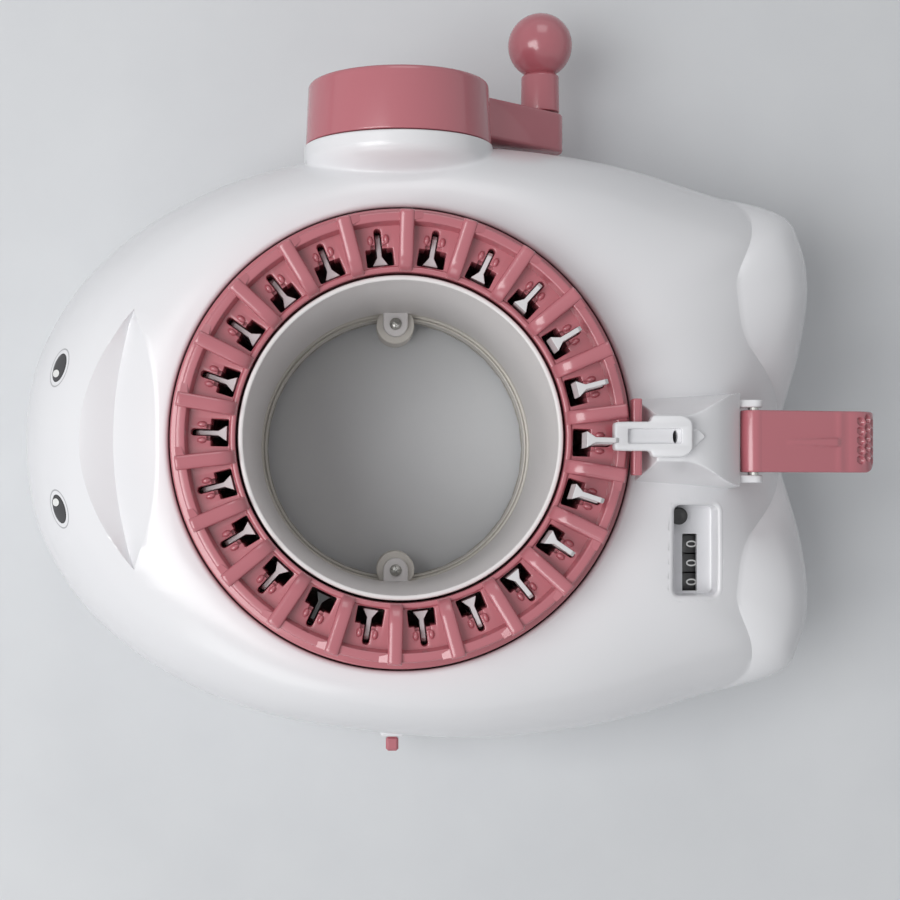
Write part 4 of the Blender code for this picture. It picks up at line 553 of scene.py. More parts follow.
def plain_dome(angle, share):
    """The dome without leaves and crescent, a little less full towards the tail."""
    power = DOME_POWER - TAIL_SLACK * np.exp(-(angle / TAIL_SPREAD) ** 2)
    return DOME_START_Z + (DECK_Z - DOME_START_Z) * dome_rise(share, power)


def fluke_leaf(angle, share):
    """Flat leaf of each fluke: highest at one angle off the tail's middle line, falling
    slowly towards the middle and faster towards the side."""
    off = np.abs(angle) - LEAF_TURN
    level = LEAF_HIGH * np.exp(-np.where(off < 0, np.abs(off / radians(22.5)) ** 3,
                                         (off / radians(17)) ** 2))
    return DOME_START_Z + level * dome_rise(share, LEAF_POWER)


def crescent_lines(y):
    """X of the crescent's head side, ridge and deck side at a distance y off the middle."""
    off = np.clip(np.abs(y) / CRESCENT_HALF_Y, 0, 1)
    return -90.6 + 15.8 * off ** 2, -81.1 + 6.3 * off ** 2, -67.4 - 7.4 * off ** 2.4


def crescent_dip(x, y):
    """Depth of the step: 0 at both sides, and deepest on the ridge line."""
    head, ridge, deck = crescent_lines(y)
    off = np.clip(np.abs(y) / CRESCENT_HALF_Y, 0, 1)
    rising = (x - head) / np.maximum(ridge - head, 1e-6)
    falling = (deck - x) / np.maximum(deck - ridge, 1e-6)
    return (CRESCENT_DEPTH * np.sqrt(1 - off ** 2)
            * np.clip(np.minimum(rising, falling), 0, 1))


def dome_at(angle, share):
    """Height of the body's top for an angle and a share of the way in."""
    radius = outline_radius(angle) * (1 - share) + COLLAR_RADIUS * share
    top = plain_dome(angle, share)
    on_tail = np.abs(angle) < radians(70)
    top = np.where(on_tail, np.maximum(top, fluke_leaf(angle, share)), top)
    return top - crescent_dip(radius * np.cos(angle), radius * np.sin(angle))


def share_at(x, y):
    """Share of the way in from the outline at a point."""
    edge = outline_radius(np.arctan2(y, x))
    return (edge - np.hypot(x, y)) / (edge - COLLAR_RADIUS)


def body_height(x, y):
    """Height of the body's top above the table at (x, y) from the ring's axis."""
    return dome_at(np.arctan2(y, x), np.clip(share_at(x, y), 0, 1))


print("height over a fluke in mm:", round(float(body_height(110.0, 45.0)), 1))

# %% [markdown]
# ## Upper shell
# A crease looks sharp only where a row of points lies on it, so the rows of the shell's grid
# bend: one follows the fold between dome and flukes, and three follow the crescent's lines.
# The counter's recess is left open, and points inside its mouth are pushed out to its edge.

# %% Rows of the shell
SHELL_COLUMNS = 580
ROW_STEPS = (28, 16, 14, 12, 4)
LIP_ROUNDING = 1.3


def fluke_fold(angle):
    """Share at which the dome meets the fluke's leaf: where their gap turns positive, found
    on a fine row of tries and then placed between two tries by the gap's slope."""
    tries = np.linspace(0.02, 0.6, 400)[:, None]
    gap = plain_dome(angle[None, :], tries) - fluke_leaf(angle[None, :], tries)
    after = np.maximum(len(tries) - np.argmax(gap[::-1] <= 0, axis=0), 1) % len(tries)
    columns = np.arange(len(angle))
    high, low = gap[after, columns], gap[after - 1, columns]
    return tries[after, 0] - high / np.maximum(high - low, 1e-9) * (tries[1, 0] - tries[0, 0])


def control_shares(angle):
    """Shares of the rows that follow creases, one array for each row. Away from its crease
    each eases to a plain share, and the crescent's lines are met on the ray in two tries."""
    off = np.clip((np.abs(angle) - radians(33)) / radians(14), 0, 1)
    middle = np.clip(1 - np.abs(angle) / radians(5), 0, 1)
    fold = np.clip(fluke_fold(angle), 0.05, 0.45)
    fold = fold * (1 - off) + 0.2 * off
    fold = fold * (1 - middle) + 0.12 * middle
    turn = (angle % FULL_TURN) - pi
    slope = np.tan(np.clip(turn, -0.5, 0.5))
    ease = smooth_step(np.clip((np.abs(turn) - radians(26)) / radians(16), 0, 1))
    rows = []
    for index, plain in enumerate((0.46, 0.66, 0.90)):
        x = crescent_lines(-85.0 * slope)[index]
        x = crescent_lines(x * slope)[index]
        rows.append(share_at(x, x * slope) * (1 - ease) + plain * ease)
    rows[1] = np.maximum(rows[1], rows[0] + 0.006)
    rows[2] = np.maximum(rows[2], rows[1] + 0.006)
    return [np.zeros_like(angle), fold, *rows, np.ones_like(angle)]


def shell_grid():
    """Skirt, dome and the rounded lip of the opening, from the outline inwards."""
    angle = np.linspace(-pi, pi, SHELL_COLUMNS, endpoint=False)
    controls = control_shares(angle)
    shares = []
    for (low, high), steps in zip(zip(controls, controls[1:]), ROW_STEPS):
        t = np.arange(steps)[:, None] / steps
        if low is controls[0]:
            t = 0.25 * t + 0.75 * t ** 2
        shares.append(low * (1 - t) + high * t)
    shares = np.concatenate(shares + [np.ones((1, SHELL_COLUMNS))])
    radius = outline_radius(angle) * (1 - shares) + COLLAR_RADIUS * shares
    top = polar_grid(radius, angle, dome_at(angle[None, :], shares))
    skirt = top[:1].repeat(3, 0)
    skirt[:, :, 2] = np.array([PARTING_Z + 0.12, PARTING_Z + 0.4, PARTING_Z + 1.6])[:, None]
    skirt[0, :, :2] *= 1 - 0.28 / np.hypot(top[0, :, 0], top[0, :, 1])[:, None]
    lip_turn = quarter(6)[1:]
    lip_radius = np.r_[COLLAR_RADIUS - LIP_ROUNDING * np.sin(lip_turn), OPENING_RADIUS]
    lip_drop = np.r_[LIP_ROUNDING - LIP_ROUNDING * np.cos(lip_turn), 5.0]
    lip = polar_grid(lip_radius[:, None], angle, top[-1, :, 2] - lip_drop[:, None])
    return np.concatenate([skirt, top, lip])


# %% Upper shell
COUNTER_MIDDLE = (83.5, -31.2)
COUNTER_HALF = (6.6, 12.7)
COUNTER_CORNER = 1.8
WINDOW_FILLET = 1.2
SHELL_WALL = 2.2


def mouth_distance(x, y):
    """Signed distance to the rounded mouth of the counter's recess, and its normal."""
    px, py = x - COUNTER_MIDDLE[0], y - COUNTER_MIDDLE[1]
    qx = np.abs(px) - (COUNTER_HALF[0] - COUNTER_CORNER)
    qy = np.abs(py) - (COUNTER_HALF[1] - COUNTER_CORNER)
    out = np.hypot(np.maximum(qx, 0), np.maximum(qy, 0))
    distance = out + np.minimum(np.maximum(qx, qy), 0) - (COUNTER_CORNER + WINDOW_FILLET)
    in_corner = (qx > 0) & (qy > 0)
    nx = np.where(in_corner, qx / np.maximum(out, 1e-9), qx > qy) * np.sign(px)
    ny = np.where(in_corner, qy / np.maximum(out, 1e-9), qx <= qy) * np.sign(py)
    return distance, nx, ny


spots, quads, _ = sheet(shell_grid())
x, y, z = spots.T
distance, nx, ny = mouth_distance(x, y)
pushed = (distance < 0) & (z > 60) & (np.hypot(x, y) > COLLAR_RADIUS + 0.1)
kept = quads[~pushed[quads].all(1)]
x[pushed] -= (nx * distance)[pushed]
y[pushed] -= (ny * distance)[pushed]
z[pushed] = body_height(x[pushed], y[pushed])
used, faces = np.unique(kept, return_inverse=True)
print("faces left out for the recess:", len(quads) - len(kept))
upper_shell = make_piece("whale_upper_shell", (spots[used], faces.reshape(-1, 4), []), WHITE_ABS,
                         "frame", ["upper_shell"], crease=28, check=False)
wall = upper_shell.modifiers.new("wall", "SOLIDIFY")
wall.thickness = SHELL_WALL * MM
wall.offset = -1

# %% [markdown]
# ## Needle ring
# The ring is one pink moulding: a turned profile for rims and skirt, and one cell repeated 22
# times round the axis, as such a mould is cut too. A cell is a flat floor with a T-shaped
# opening for the needle, two small bumps beside it, and a rounded rib on its border.

# %% Rims, skirt and one cell's floor
NEEDLES = 22
PITCH = FULL_TURN / NEEDLES
FIRST_NEEDLE = radians(-1.6)
FLOOR_Z, RIB_TOP_Z = 104.0, 110.0
WELL_LOW_Z = 94.0
SLOT_HALF = 0.95

inner_lip = soften([(45.3, 99.0), (45.3, 104.8), (46.6, 104.8), (47.05, 103.9), (47.05, 99.0)],
                   [0.3, 0.55, 0.5, 0.2, 0.2], 4)
outer_rim = soften([
    (57.9, 101.0), (58.1, 103.9), (58.7, 108.4), (61.3, 108.4), (61.6, 95.2), (64.3, 95.0),
    (64.3, 90.0), (62.2, 90.0), (59.4, 93.2), (59.4, 101.0)],
    [0.2, 0.2, 0.45, 0.7, 0.8, 0.7, 0.3, 0.3, 0.3, 0.3], 4)

half_tee = [(47.1, -3.75), (51.9, -3.75), (51.9, -2.2), (53.1, -2.2), (53.1, -SLOT_HALF)]
slot_end = arc(SLOT_HALF, np.linspace(-pi / 2, pi / 2, 9), (56.55, 0))
tee = soften([*half_tee, *slot_end, *((x, -y) for x, y in reversed(half_tee))],
             [0.5, 0.3, 0.3, 0.35, 0.3] + [0.02] * 9 + [0.3, 0.35, 0.3, 0.3, 0.5], 3)
tee_wall = rounded_hole(tee, FLOOR_Z, WELL_LOW_Z, 0.3)
cell_turn = np.linspace(-PITCH / 2, PITCH / 2, 9)
cell_edge = np.concatenate([arc(58.3, cell_turn), arc(46.9, cell_turn[::-1])])
cell_floor = face_with_hole(cell_edge, tee_wall, FLOOR_Z)


def bump(side):
    """Half ellipsoid standing on the floor: (a cos t cos s, b cos t sin s, h sin t)."""
    t = np.linspace(-0.3, pi / 2, 9)[:, None]
    s = circle(24)
    return sheet(grid_of(54.4 + 1.35 * np.cos(t) * np.cos(s),
                         side * 2.2 + 0.85 * np.cos(t) * np.sin(s),
                         FLOOR_Z + 0.95 * np.sin(t)))


print("points round a cell's opening:", len(tee))

# %% [markdown]
# ## Ribs of the ring
# Each rib is a bar with a rounded back that climbs a little outwards. It ends in an upright
# face outside and melts into the inner lip. A small wedge braces it against the rim.

# %% Ribs and braces
RIB_HALF, RIB_END, RIB_MELT = 2.05, 61.8, 50.6
HALF_ACROSS = np.array([0.28, 0.55, 0.78, 0.92, 0.985, 1, 1])
HALF_CROWN = np.array([0.996, 0.982, 0.94, 0.86, 0.74, 0.56, 0])


def rib_bar(angle):
    """Sweep along the radius: the section is a rounded arch whose height follows the bar."""
    radius = np.array([45.35, 45.45, 45.8, 46.4, 47.2, 48.2, 49.4, RIB_MELT, 52, 55, 58, 60.4,
                       61.0, 61.4, 61.65, RIB_END, RIB_END])[:, None]
    melt = np.clip((RIB_MELT - radius) / 5.25, 0, 1)
    corner = np.clip((radius - 61.0) / 0.8, 0, 1)
    top = (RIB_TOP_Z - 1.6 * (RIB_END - radius) / 15.5 - 3.9 * quarter_fall(melt)
           - 0.8 * quarter_fall(corner))
    slim = 1 - 0.16 * melt ** 3 - 0.03 * corner ** 2
    low = np.where(radius < 47, 101.0, np.where(radius > 58.5, 103.0, 102.6))
    across = np.r_[-HALF_ACROSS[::-1], 0, HALF_ACROSS]
    crown = np.r_[HALF_CROWN[::-1], 1, HALF_CROWN]
    z = np.where(crown > 0, top - 3.4 * (1 - crown), low)
    z[-1] = low[-1]
    return tilted(sheet(grid_of(radius, RIB_HALF * across * slim, z), False, True), angle)


def brace(angle):
    """Wedge on the rim: a rectangle on the rib's flank that runs out to nothing."""
    foot, out = 0.1 - RIB_HALF, -2.3 - RIB_HALF
    rows = np.array([
        [(58.9, foot, 107.4), (61.2, foot, 107.4), (61.2, foot, 109.3), (58.9, foot, 109.2)],
        [(59.6, out, 107.4), (61.2, out, 107.4), (61.2, out, 108.42), (59.6, out, 108.42)]])
    return tilted(sheet(rows, caps=True), angle)


def wall_between(angle):
    """Block of the cylinder's wall between two needle grooves, down inside the body."""
    gap = math.asin(SLOT_HALF / 52.4)
    turn = np.linspace(gap, PITCH - gap, 7)
    outline = np.concatenate([arc(57.0, turn), arc(52.4, turn[::-1])])
    return tilted(sheet(layers(outline, [(0, 34.0), (0, 101.5)]), caps=True), angle)


ring_parts = [turned(profile[::-1], 16 * NEEDLES) for profile in (inner_lip, outer_rim)]
floors = []
for angle in FIRST_NEEDLE + np.arange(NEEDLES) * PITCH:
    ring_parts += [tilted(lump, angle) for lump in
                   (sheet(tee_wall), bump(-1), bump(1))]
    ring_parts += [rib_bar(angle + PITCH / 2), brace(angle + PITCH / 2), wall_between(angle)]
    floors.append(tilted(cell_floor, angle))
make_piece("needle_ring", joined(ring_parts, floors), PINK_ABS, "ring", ["needle_cylinder"],
           crease=34)

# %% [markdown]
# ## Needles
# The hooked needles are flat prisms of white acetal. Their CAD shape is right but its edges
# are sharp, so each gets a rounded copy. The black one marks where a row begins.

# %% Needles
MARKER_NEEDLE = 16
NEEDLE_EDGE = 0.28
for number in range(1, NEEDLES + 1):
    rounded_copy(f"needle_{number:02d}", f"hooked_needle_{number:02d}",
                 BLACK_ABS if number == MARKER_NEEDLE else WHITE_ACETAL,
                 f"needle_{number:02d}_body", NEEDLE_EDGE)

# %% [markdown]
# ## Fabric tube and base rings
# A white tube lines the ring, so that the knitting grows down inside it, and two lugs at its
# foot take its screws. Under it lies a beige ring with a fine groove. All are turned shapes,
# so each is a profile carried round the axis.

# %% Fabric tube
SIDES = (1, -1)
SCREW_Y = 39.5
LUG_ROUNDING = 0.45
tube_profile = soften([(43.2, 20.0), (43.2, 103.5), (44.6, 103.5), (44.6, 20.0)],
                      [0.3, 0.6, 0.6, 0.3], 4)
tip_turn = np.linspace(pi / 2, -pi / 2, 15)
lug = np.concatenate([np.c_[4.0 * np.sin(tip_turn), SCREW_Y - 4.0 * np.cos(tip_turn)],
                      [(-4.0, 43.6), (-6.0, 43.2), (6.0, 43.2), (4.0, 43.6)]])[::-1]
lug_steps = [(0, 20.0)] + [(-LUG_ROUNDING * (1 - np.cos(a)),
                            22.6 - LUG_ROUNDING + LUG_ROUNDING * np.sin(a)) for a in quarter(4)]
make_piece("fabric_tube", joined([turned(tube_profile[::-1], 256)] + [
    sheet(layers(side * lug, lug_steps), caps=True) for side in SIDES]),
    TUBE_ABS, "frame", ["inner_tube"], crease=32)

# %% Base rings
base_profile = soften([
    (42.0, 5.7), (42.0, 14.3), (42.45, 14.3), (42.5, 13.5), (42.75, 13.5), (42.8, 14.7),
    (43.3, 14.7), (43.35, 19.7), (47.0, 19.7), (47.0, 5.7)],
    [0.3, 0.2, 0.1, 0.05, 0.05, 0.1, 0.15, 0.3, 0.4, 0.3], 3)
make_piece("beige_base_rings", joined([turned(base_profile[::-1], 256)] + [
    turned_solid([(0, 5.7), (6.1, 5.7), (6.1, 19.7), (0, 19.7)], [0, 0.2, 0.5, 0], 3, 48,
                 centre=(0, side * SCREW_Y, 0)) for side in SIDES]),
    BEIGE_ABS, "frame", ["base_ring"], crease=32)

# %% [markdown]
# ## Lower shell
# The lower half is a plain tub. It draws in by 1.6 mm towards the table, so that the
# moulding comes off its core, and turns under in a round edge. A narrow groove shows
# where the two halves snap together, so both edges step back there.

# %% Lower shell
TUB_COLUMNS = 620
tub_turn = np.linspace(-pi, pi, TUB_COLUMNS, endpoint=False)
tub_inset = np.r_[3.0, 0.9, 0.28, 0.06, 0.0, 0.4, 0.9, 1.45, 1.6 + 3 * (1 - np.cos(quarter(7))),
                  6.0, 6.0][:, None]
tub_height = np.r_[37.0, PARTING_Z - 0.1, PARTING_Z - 0.1, PARTING_Z - 0.3, PARTING_Z - 0.9,
                   30.0, 20.0, 11.5, 8.7 - 3 * np.sin(quarter(7)), 5.7, 9.0][:, None]
tub = polar_grid(outline_radius(tub_turn) - tub_inset, tub_turn, tub_height)
make_piece("whale_lower_shell", sheet(tub[::-1]), WHITE_ABS, "frame",
           ["lower_shell"], crease=35, check=False)

# %% [markdown]
# ## Crank boss
# The crank sits on a short round boss that grows out of the body with a fillet. Its top is a
# soft maximum of a lying cylinder and the dome, a log(exp(z1/a) + exp(z2/a)), which fills the
# corner between them. Where the cylinder has no effect, the patch dives just under the shell.
# Beside the body's outline it tucks in behind the cylinder's lower side, a turned sheet.

# %% Crank boss with its fillet
CRANK_Z, BOSS_RADIUS, BOSS_END_Y = 71.5, 27.5, 85.7
BOSS_BACK_Y, BOSS_FALL, BOSS_EDGE, BOSS_BLEND = 82.5, 6.0, 0.8, 1.1


def boss_height(x, y):
    """Soft maximum of the lying cylinder, which falls off behind, and the body's dome."""
    half_chord = np.sqrt(np.maximum(BOSS_RADIUS ** 2 - x ** 2, 0))
    past = np.maximum(np.abs(x) - BOSS_RADIUS, 0)
    behind = np.clip(BOSS_BACK_Y - y, 0, None) / BOSS_FALL
    cylinder = (CRANK_Z + half_chord - 40 * past - 5.5 * behind ** 2
                - corner_fall(BOSS_END_Y - y, BOSS_EDGE))
    dome = body_height(x, y)
    above = BOSS_BLEND * np.logaddexp(0, (cylinder - dome) / BOSS_BLEND)
    return dome + above - 0.06 * (1 - np.clip(above / 0.05, 0, 1))


boss_x = np.r_[np.linspace(-34, -BOSS_RADIUS, 20)[:-1],
               BOSS_RADIUS * np.sin(np.linspace(-pi / 2, pi / 2, 161)),
               np.linspace(BOSS_RADIUS, 34, 20)[1:]]
boss_y = np.r_[np.linspace(66.5, 84.8, 70),
               BOSS_END_Y - BOSS_EDGE + BOSS_EDGE * np.sin(quarter(8))][:, None]
boss_top = grid_of(boss_x, boss_y, boss_height(boss_x, boss_y))
beside = (np.abs(boss_x) > BOSS_RADIUS) & (body_height(boss_x, boss_y) < CRANK_Z)
boss_top[..., 0] = np.where(beside, np.sign(boss_x) * 27.3, boss_x)
boss_top[beside, 2] = CRANK_Z - 0.5
boss_end = boss_top[-1:].copy()
boss_end[..., 2] = np.minimum(boss_end[..., 2], CRANK_Z - 2)
side_turn = np.linspace(radians(166), radians(374), 120)
rim_turn = quarter(6)[::-1]
side_radius = np.r_[2.0, 26.4, 26.65 + BOSS_EDGE * np.cos(rim_turn), 27.45][:, None]
side_y = np.r_[BOSS_END_Y, BOSS_END_Y, BOSS_END_Y - BOSS_EDGE + BOSS_EDGE * np.sin(rim_turn),
               76.0][:, None]
boss_side = grid_of(side_radius * np.cos(side_turn), side_y,
                    CRANK_Z + side_radius * np.sin(side_turn))
make_piece("crank_boss", joined([
    sheet(np.concatenate([boss_top, boss_end]), False), sheet(boss_side, False)]), WHITE_ABS,
           "frame", ["gear_housing"], check=False)

# %% [markdown]
# ## Crank
# The crank is a thick pink disc with a shallow dish in its face, and an arm that ends in a
# turning ball knob. Disc and knob are turned profiles. The arm is an outline that hugs two
# circles, pushed through its thickness, with rounded rims.

# %% Crank and knob
CRANK_REACH, ROOT_RADIUS, END_RADIUS = 57, 11.0, 7.0
CRANK_TURN = radians(-38)
BALL_RADIUS, BALL_Y = 10.0, 125.0
END_X, END_Z = CRANK_REACH * math.cos(CRANK_TURN), CRANK_REACH * math.sin(CRANK_TURN)
drum = turned_solid([(0, 86.0), (27.1, 86.0), (26.3, 104.0), (21.0, 104.0), (19.4, 101.0),
                     (6.4, 101.0), (6.4, 103.2), (0, 103.2)],
                    [0, 0.5, 1.5, 0.7, 0.9, 0.3, 0.5, 0], 5, 220, "Y", (0, 0, CRANK_Z))
lean = math.acos((ROOT_RADIUS - END_RADIUS) / CRANK_REACH)
root_arc = np.linspace(CRANK_TURN + lean, CRANK_TURN - lean + FULL_TURN, 24)
end_arc = np.linspace(CRANK_TURN - lean, CRANK_TURN + lean, 24)
arm_outline = np.concatenate([arc(ROOT_RADIUS, root_arc), arc(END_RADIUS, end_arc, (END_X, END_Z))])
arm = rounded_slab(arm_outline, 91.2, 103.2, 0.9, "Y", (0, 0, CRANK_Z))
make_piece("crank_disc_and_arm", joined([drum, arm]), PINK_ABS, "crank_body", ["crank"], crease=35)
stem = soften([(0, 103.9), (6.0, 103.9), (5.85, 115.2), (5.0, 115.9)], [0, 0.4, 0.7, 0], 4, False)
ball = arc(BALL_RADIUS, np.linspace(-radians(62), pi / 2, 30), (0, BALL_Y))
make_piece("ball_knob", turned(np.concatenate([stem, ball]), 96, "Y",
                               (END_X, 0, CRANK_Z + END_Z), closed=False),
           PINK_ABS, "knob_body", ["crank_knob"], crease=35)

# %% [markdown]
# ## Feeder bracket
# The feeder stands on a white saddle whose top is a valley that widens towards the lever and
# ends in two pointed wings. The saddle is a height over a grid: the lowest of the valley, the
# sloping sides and the sloping front, joined by a soft minimum, -a log(sum of exp(-z/a)),
# which rounds their edges. The yarn's hole goes on down into it, so it looks black.

# %% Feeder bracket
BRACKET_START, BRACKET_END, BRACKET_FOOT_Z, BRACKET_BLEND = 65.4, 93.7, 80.0, 0.35
HINGE_X, HINGE_Y, HINGE_Z = 98.2, -0.75, 96.0
YARN_X, YARN_Y = 73.5, -0.1
PIN_HALF = (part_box("arm_pin")[1].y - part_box("arm_pin")[0].y) / 2 / MM
print("half length of the lever's pin in mm:", round(PIN_HALF, 2))


def bracket_height(x, y):
    """Soft minimum of the valley, the sides and the front of the bracket."""
    way = np.clip((x - 76.5) / (BRACKET_END - 76.5), 0, 1)
    ease = smooth_step(way)
    crest = 110.6 - 11.8 * way ** 1.9
    edge = 6.2 + 6.6 * ease
    reach = 11.5 + 1.9 * (x - BRACKET_START) / (BRACKET_END - BRACKET_START)
    side_y = np.abs(y + 0.4)
    valley = crest + 1.6 * ease * (side_y / edge) ** 2
    foot = body_height(x, np.sign(y) * reach) - 0.5
    side = foot + (crest + 1.6 * ease - foot) * (reach - side_y) / np.maximum(reach - edge, 0.5)
    front = 94.0 + (x - BRACKET_START) * 4.6 + 0 * y
    heights = np.stack([valley, side, front])
    low = heights.min(0)
    top = low - BRACKET_BLEND * np.log(np.exp(-(heights - low) / BRACKET_BLEND).sum(0))
    in_hole = ((x - YARN_X) / 0.85) ** 2 + ((y - YARN_Y) / 2.1) ** 2 < 1
    return np.maximum(np.where(in_hole, 97.0, top), BRACKET_FOOT_Z)


def hinge_ear(side):
    """Plate beside the lever's root: a strip that ends in a half circle round the pin."""
    outline = np.concatenate([
        arc(2.6, np.linspace(-pi / 2, pi / 2, 25), (HINGE_X, HINGE_Z - 0.3)),
        [(BRACKET_END - 1.0, HINGE_Z + 1.6), (BRACKET_END - 1.0, HINGE_Z - 7.5)]])
    low, high = sorted((HINGE_Y + side * 9.4, HINGE_Y + side * (PIN_HALF + 0.1)))
    return rounded_slab(outline, low, high, 0.4, "Y")


grid_x = np.linspace(BRACKET_START, BRACKET_END, 130)[:, None]
grid_y = np.linspace(-14.4, 13.6, 140)
bracket_top = grid_of(grid_x, grid_y, bracket_height(grid_x, grid_y))
end_face = bracket_top[-1:].repeat(2, 0)
end_face[0, :, 2] -= 0.05
end_face[1, :, 2] = BRACKET_FOOT_Z
start_face = bracket_top[:1].copy()
start_face[0, :, 2] = BRACKET_FOOT_Z
saddle = sheet(np.concatenate([start_face, bracket_top, end_face]), False)
lozenge = rounded_slab(
    soften([(77.2, -2.2), (79.4, -2.8), (82.2, 0.1), (80.2, 2.2), (77.2, 1.6)], 0.6),
    107.0, 110.5, 0.4)
make_piece("feeder_saddle", joined([saddle, hinge_ear(1), hinge_ear(-1), lozenge]), WHITE_ABS,
           "frame", ["feeder_bracket"], crease=50)

# %% [markdown]
# ## Yarn feeder
# The feeder is a small T-shaped white bar whose nose reaches over the needles. A channel runs
# along its back, and the yarn drops through an oval hole at its end. The bar is an outline in
# layers, and channel and hole are openings in its flat faces.

# %% Yarn feeder and needle guard
FEEDER_LOW, FEEDER_HIGH = 110.6, 115.0
CHANNEL_Z = FEEDER_HIGH - 1.9
half_bar = [(77.9, 4.0), (75.6, 5.6), (67.2, 5.6), (66.6, 3.9), (60.4, 3.9), (56.9, 3.8)]
half_cuts = [1.3, 1.3, 1.3, 0.7, 0.6, 1.0]
feeder_outline = soften([(x, -y) for x, y in half_bar[::-1]] + half_bar,
                        half_cuts[::-1] + half_cuts, 4)
channel = soften([(60.6, -2.0), (74.9, -2.0), (74.9, 2.0), (60.6, 2.0)], 0.5)
channel_wall = rounded_hole(channel, FEEDER_HIGH, CHANNEL_Z, 0.35)
yarn_hole = np.c_[YARN_X + 0.68 * np.cos(circle(28)), YARN_Y + 1.75 * np.sin(circle(28))]
hole_wall = rounded_hole(yarn_hole, CHANNEL_Z, FEEDER_LOW - 0.4, 0.15)
bar = layers(feeder_outline, [
    (-0.9, FEEDER_LOW), (-0.25, FEEDER_LOW), (0, FEEDER_LOW + 0.3), (0, FEEDER_HIGH - 0.6),
    (-0.08, FEEDER_HIGH - 0.35), (-0.25, FEEDER_HIGH - 0.12), (-0.55, FEEDER_HIGH)])
make_piece("yarn_feeder_bar", joined(
    [sheet(wall) for wall in (bar, channel_wall, hole_wall)],
    [face_with_hole(bar[-1, :, :2], channel_wall, FEEDER_HIGH),
     face_with_hole(channel, hole_wall, CHANNEL_Z)]),
    WHITE_ABS, "frame", ["yarn_feeder"], crease=38)
guard = soften([(62.6, -10.4), (65.1, -10.4), (65.1, 10.4), (62.6, 10.4)], 0.5)
make_piece("pink_needle_guard", rounded_slab(guard, 104.8, 110.3, 0.45), PINK_ABS, "frame",
           ["needle_guard"])

# %% [markdown]
# ## Tension lever
# The lever that keeps the yarn tight is a thin pink plate. It springs from a knuckle round the
# pin, runs almost flat and turns down at the end, where the thumb presses. A rib stiffens it,
# and small oval grips are sunk in its tip. Its side profile is swept across its width, and
# one corner of the tip is rounder than the other.

# %% Tension lever
LEVER_WIDTH, LEVER_THICK, KNUCKLE_RADIUS = 17.2, 2.6, 3.6
BEND_MIDDLE, BEND_RADIUS = (27.5, -12.0), 9.0
FLAT_STEPS, BEND_STEPS = 40, 50
GRIP_LEAN = 0.5


def lever_line():
    """Top line of the lever from the knuckle to the tip, as x, z and upward normal."""
    turn = np.linspace(pi / 2, radians(15), BEND_STEPS)
    bend = arc(BEND_RADIUS, turn, BEND_MIDDLE)
    start = np.array([0.0, KNUCKLE_RADIUS])
    t = np.linspace(0, 1, FLAT_STEPS)[:, None]
    line = np.concatenate([start * (1 - t) + bend[0] * t, bend[1:]])
    slope = (bend[0] - start) / np.linalg.norm(bend[0] - start)
    flat_normal = np.array([-slope[1], slope[0]])
    normal = np.concatenate([np.tile(flat_normal, (FLAT_STEPS, 1)), arc(1, turn)[1:]])
    blend = np.clip((np.arange(len(line)) - 30) / 20, 0, 1)[:, None]
    mixed = flat_normal * (1 - blend) + normal * blend
    return line[:, None], (mixed / np.linalg.norm(mixed, axis=1, keepdims=True))[:, None]


line, normal = lever_line()
length = np.r_[0, np.cumsum(np.linalg.norm(np.diff(line[:, 0], axis=0), axis=1))][:, None]
to_tip = length[-1] - length
across = np.linspace(-1, 1, 65)
y = across * (LEVER_WIDTH / 2 - np.where(across > 0, corner_fall(to_tip, 1.5),
                                         corner_fall(to_tip, 5.5)))
rim = np.minimum((1 - np.abs(across)) * LEVER_WIDTH / 2, to_tip)
along = np.clip((length - 9.5) / 14.5, 0, 1) * np.clip((25.2 - length) / 0.6, 0, 1)
rib = 0.9 * along ** 0.6 * np.clip(1.4 - (np.abs(y + 0.2) / (0.5 + 0.75 * along)) ** 2, 0, 1)
rib = np.maximum(rib, 0.35 * np.exp(-((length - 25.6) / 0.8) ** 2))
grips = np.zeros_like(y)
for grip_x, shift in ((2.4, 0.0), (5.2, 1.1), (8.0, 0.3)):
    for grip_y in (-5.4, -2.7, 0.0, 2.7, 5.4):
        u, v = to_tip - grip_x, y - (grip_y + shift)
        oval = np.hypot((u * math.cos(GRIP_LEAN) + v * math.sin(GRIP_LEAN)) / 1.25,
                        (v * math.cos(GRIP_LEAN) - u * math.sin(GRIP_LEAN)) / 0.95)
        grips = np.maximum(grips, np.clip((1.15 - oval) / 0.3, 0, 1))
upper = line + normal * (rib - corner_fall(rim, 0.6) - 1.1 * grips)[..., None]
lower = line - normal * LEVER_THICK
top, under = (grid_of(HINGE_X + half[..., 0], HINGE_Y + y, HINGE_Z + half[..., 1])
              for half in (upper, lower))
knuckle = turned_solid([(0, -8.6), (KNUCKLE_RADIUS, -8.6), (KNUCKLE_RADIUS, 8.6), (0, 8.6)],
                       [0, 0.5, 0.5, 0], 3, 48, "Y", (HINGE_X, HINGE_Y, HINGE_Z))
plate = sheet(np.concatenate([top, under[:, ::-1]], 1), caps=True)
make_piece("tension_lever", joined([plate, knuckle]), PINK_ABS, "arm_body", ["tension_arm"],
           crease=50)

# %% [markdown]
# ## Row counter
# A row counter sits in a rounded recess beside the feeder. The recess is one tray: its rim is
# a quarter round that starts on the body's surface, its walls drop straight, and its floor
# has a window for three number wheels. So it is a closed outline at several heights, plus one
# flat face with a hole.

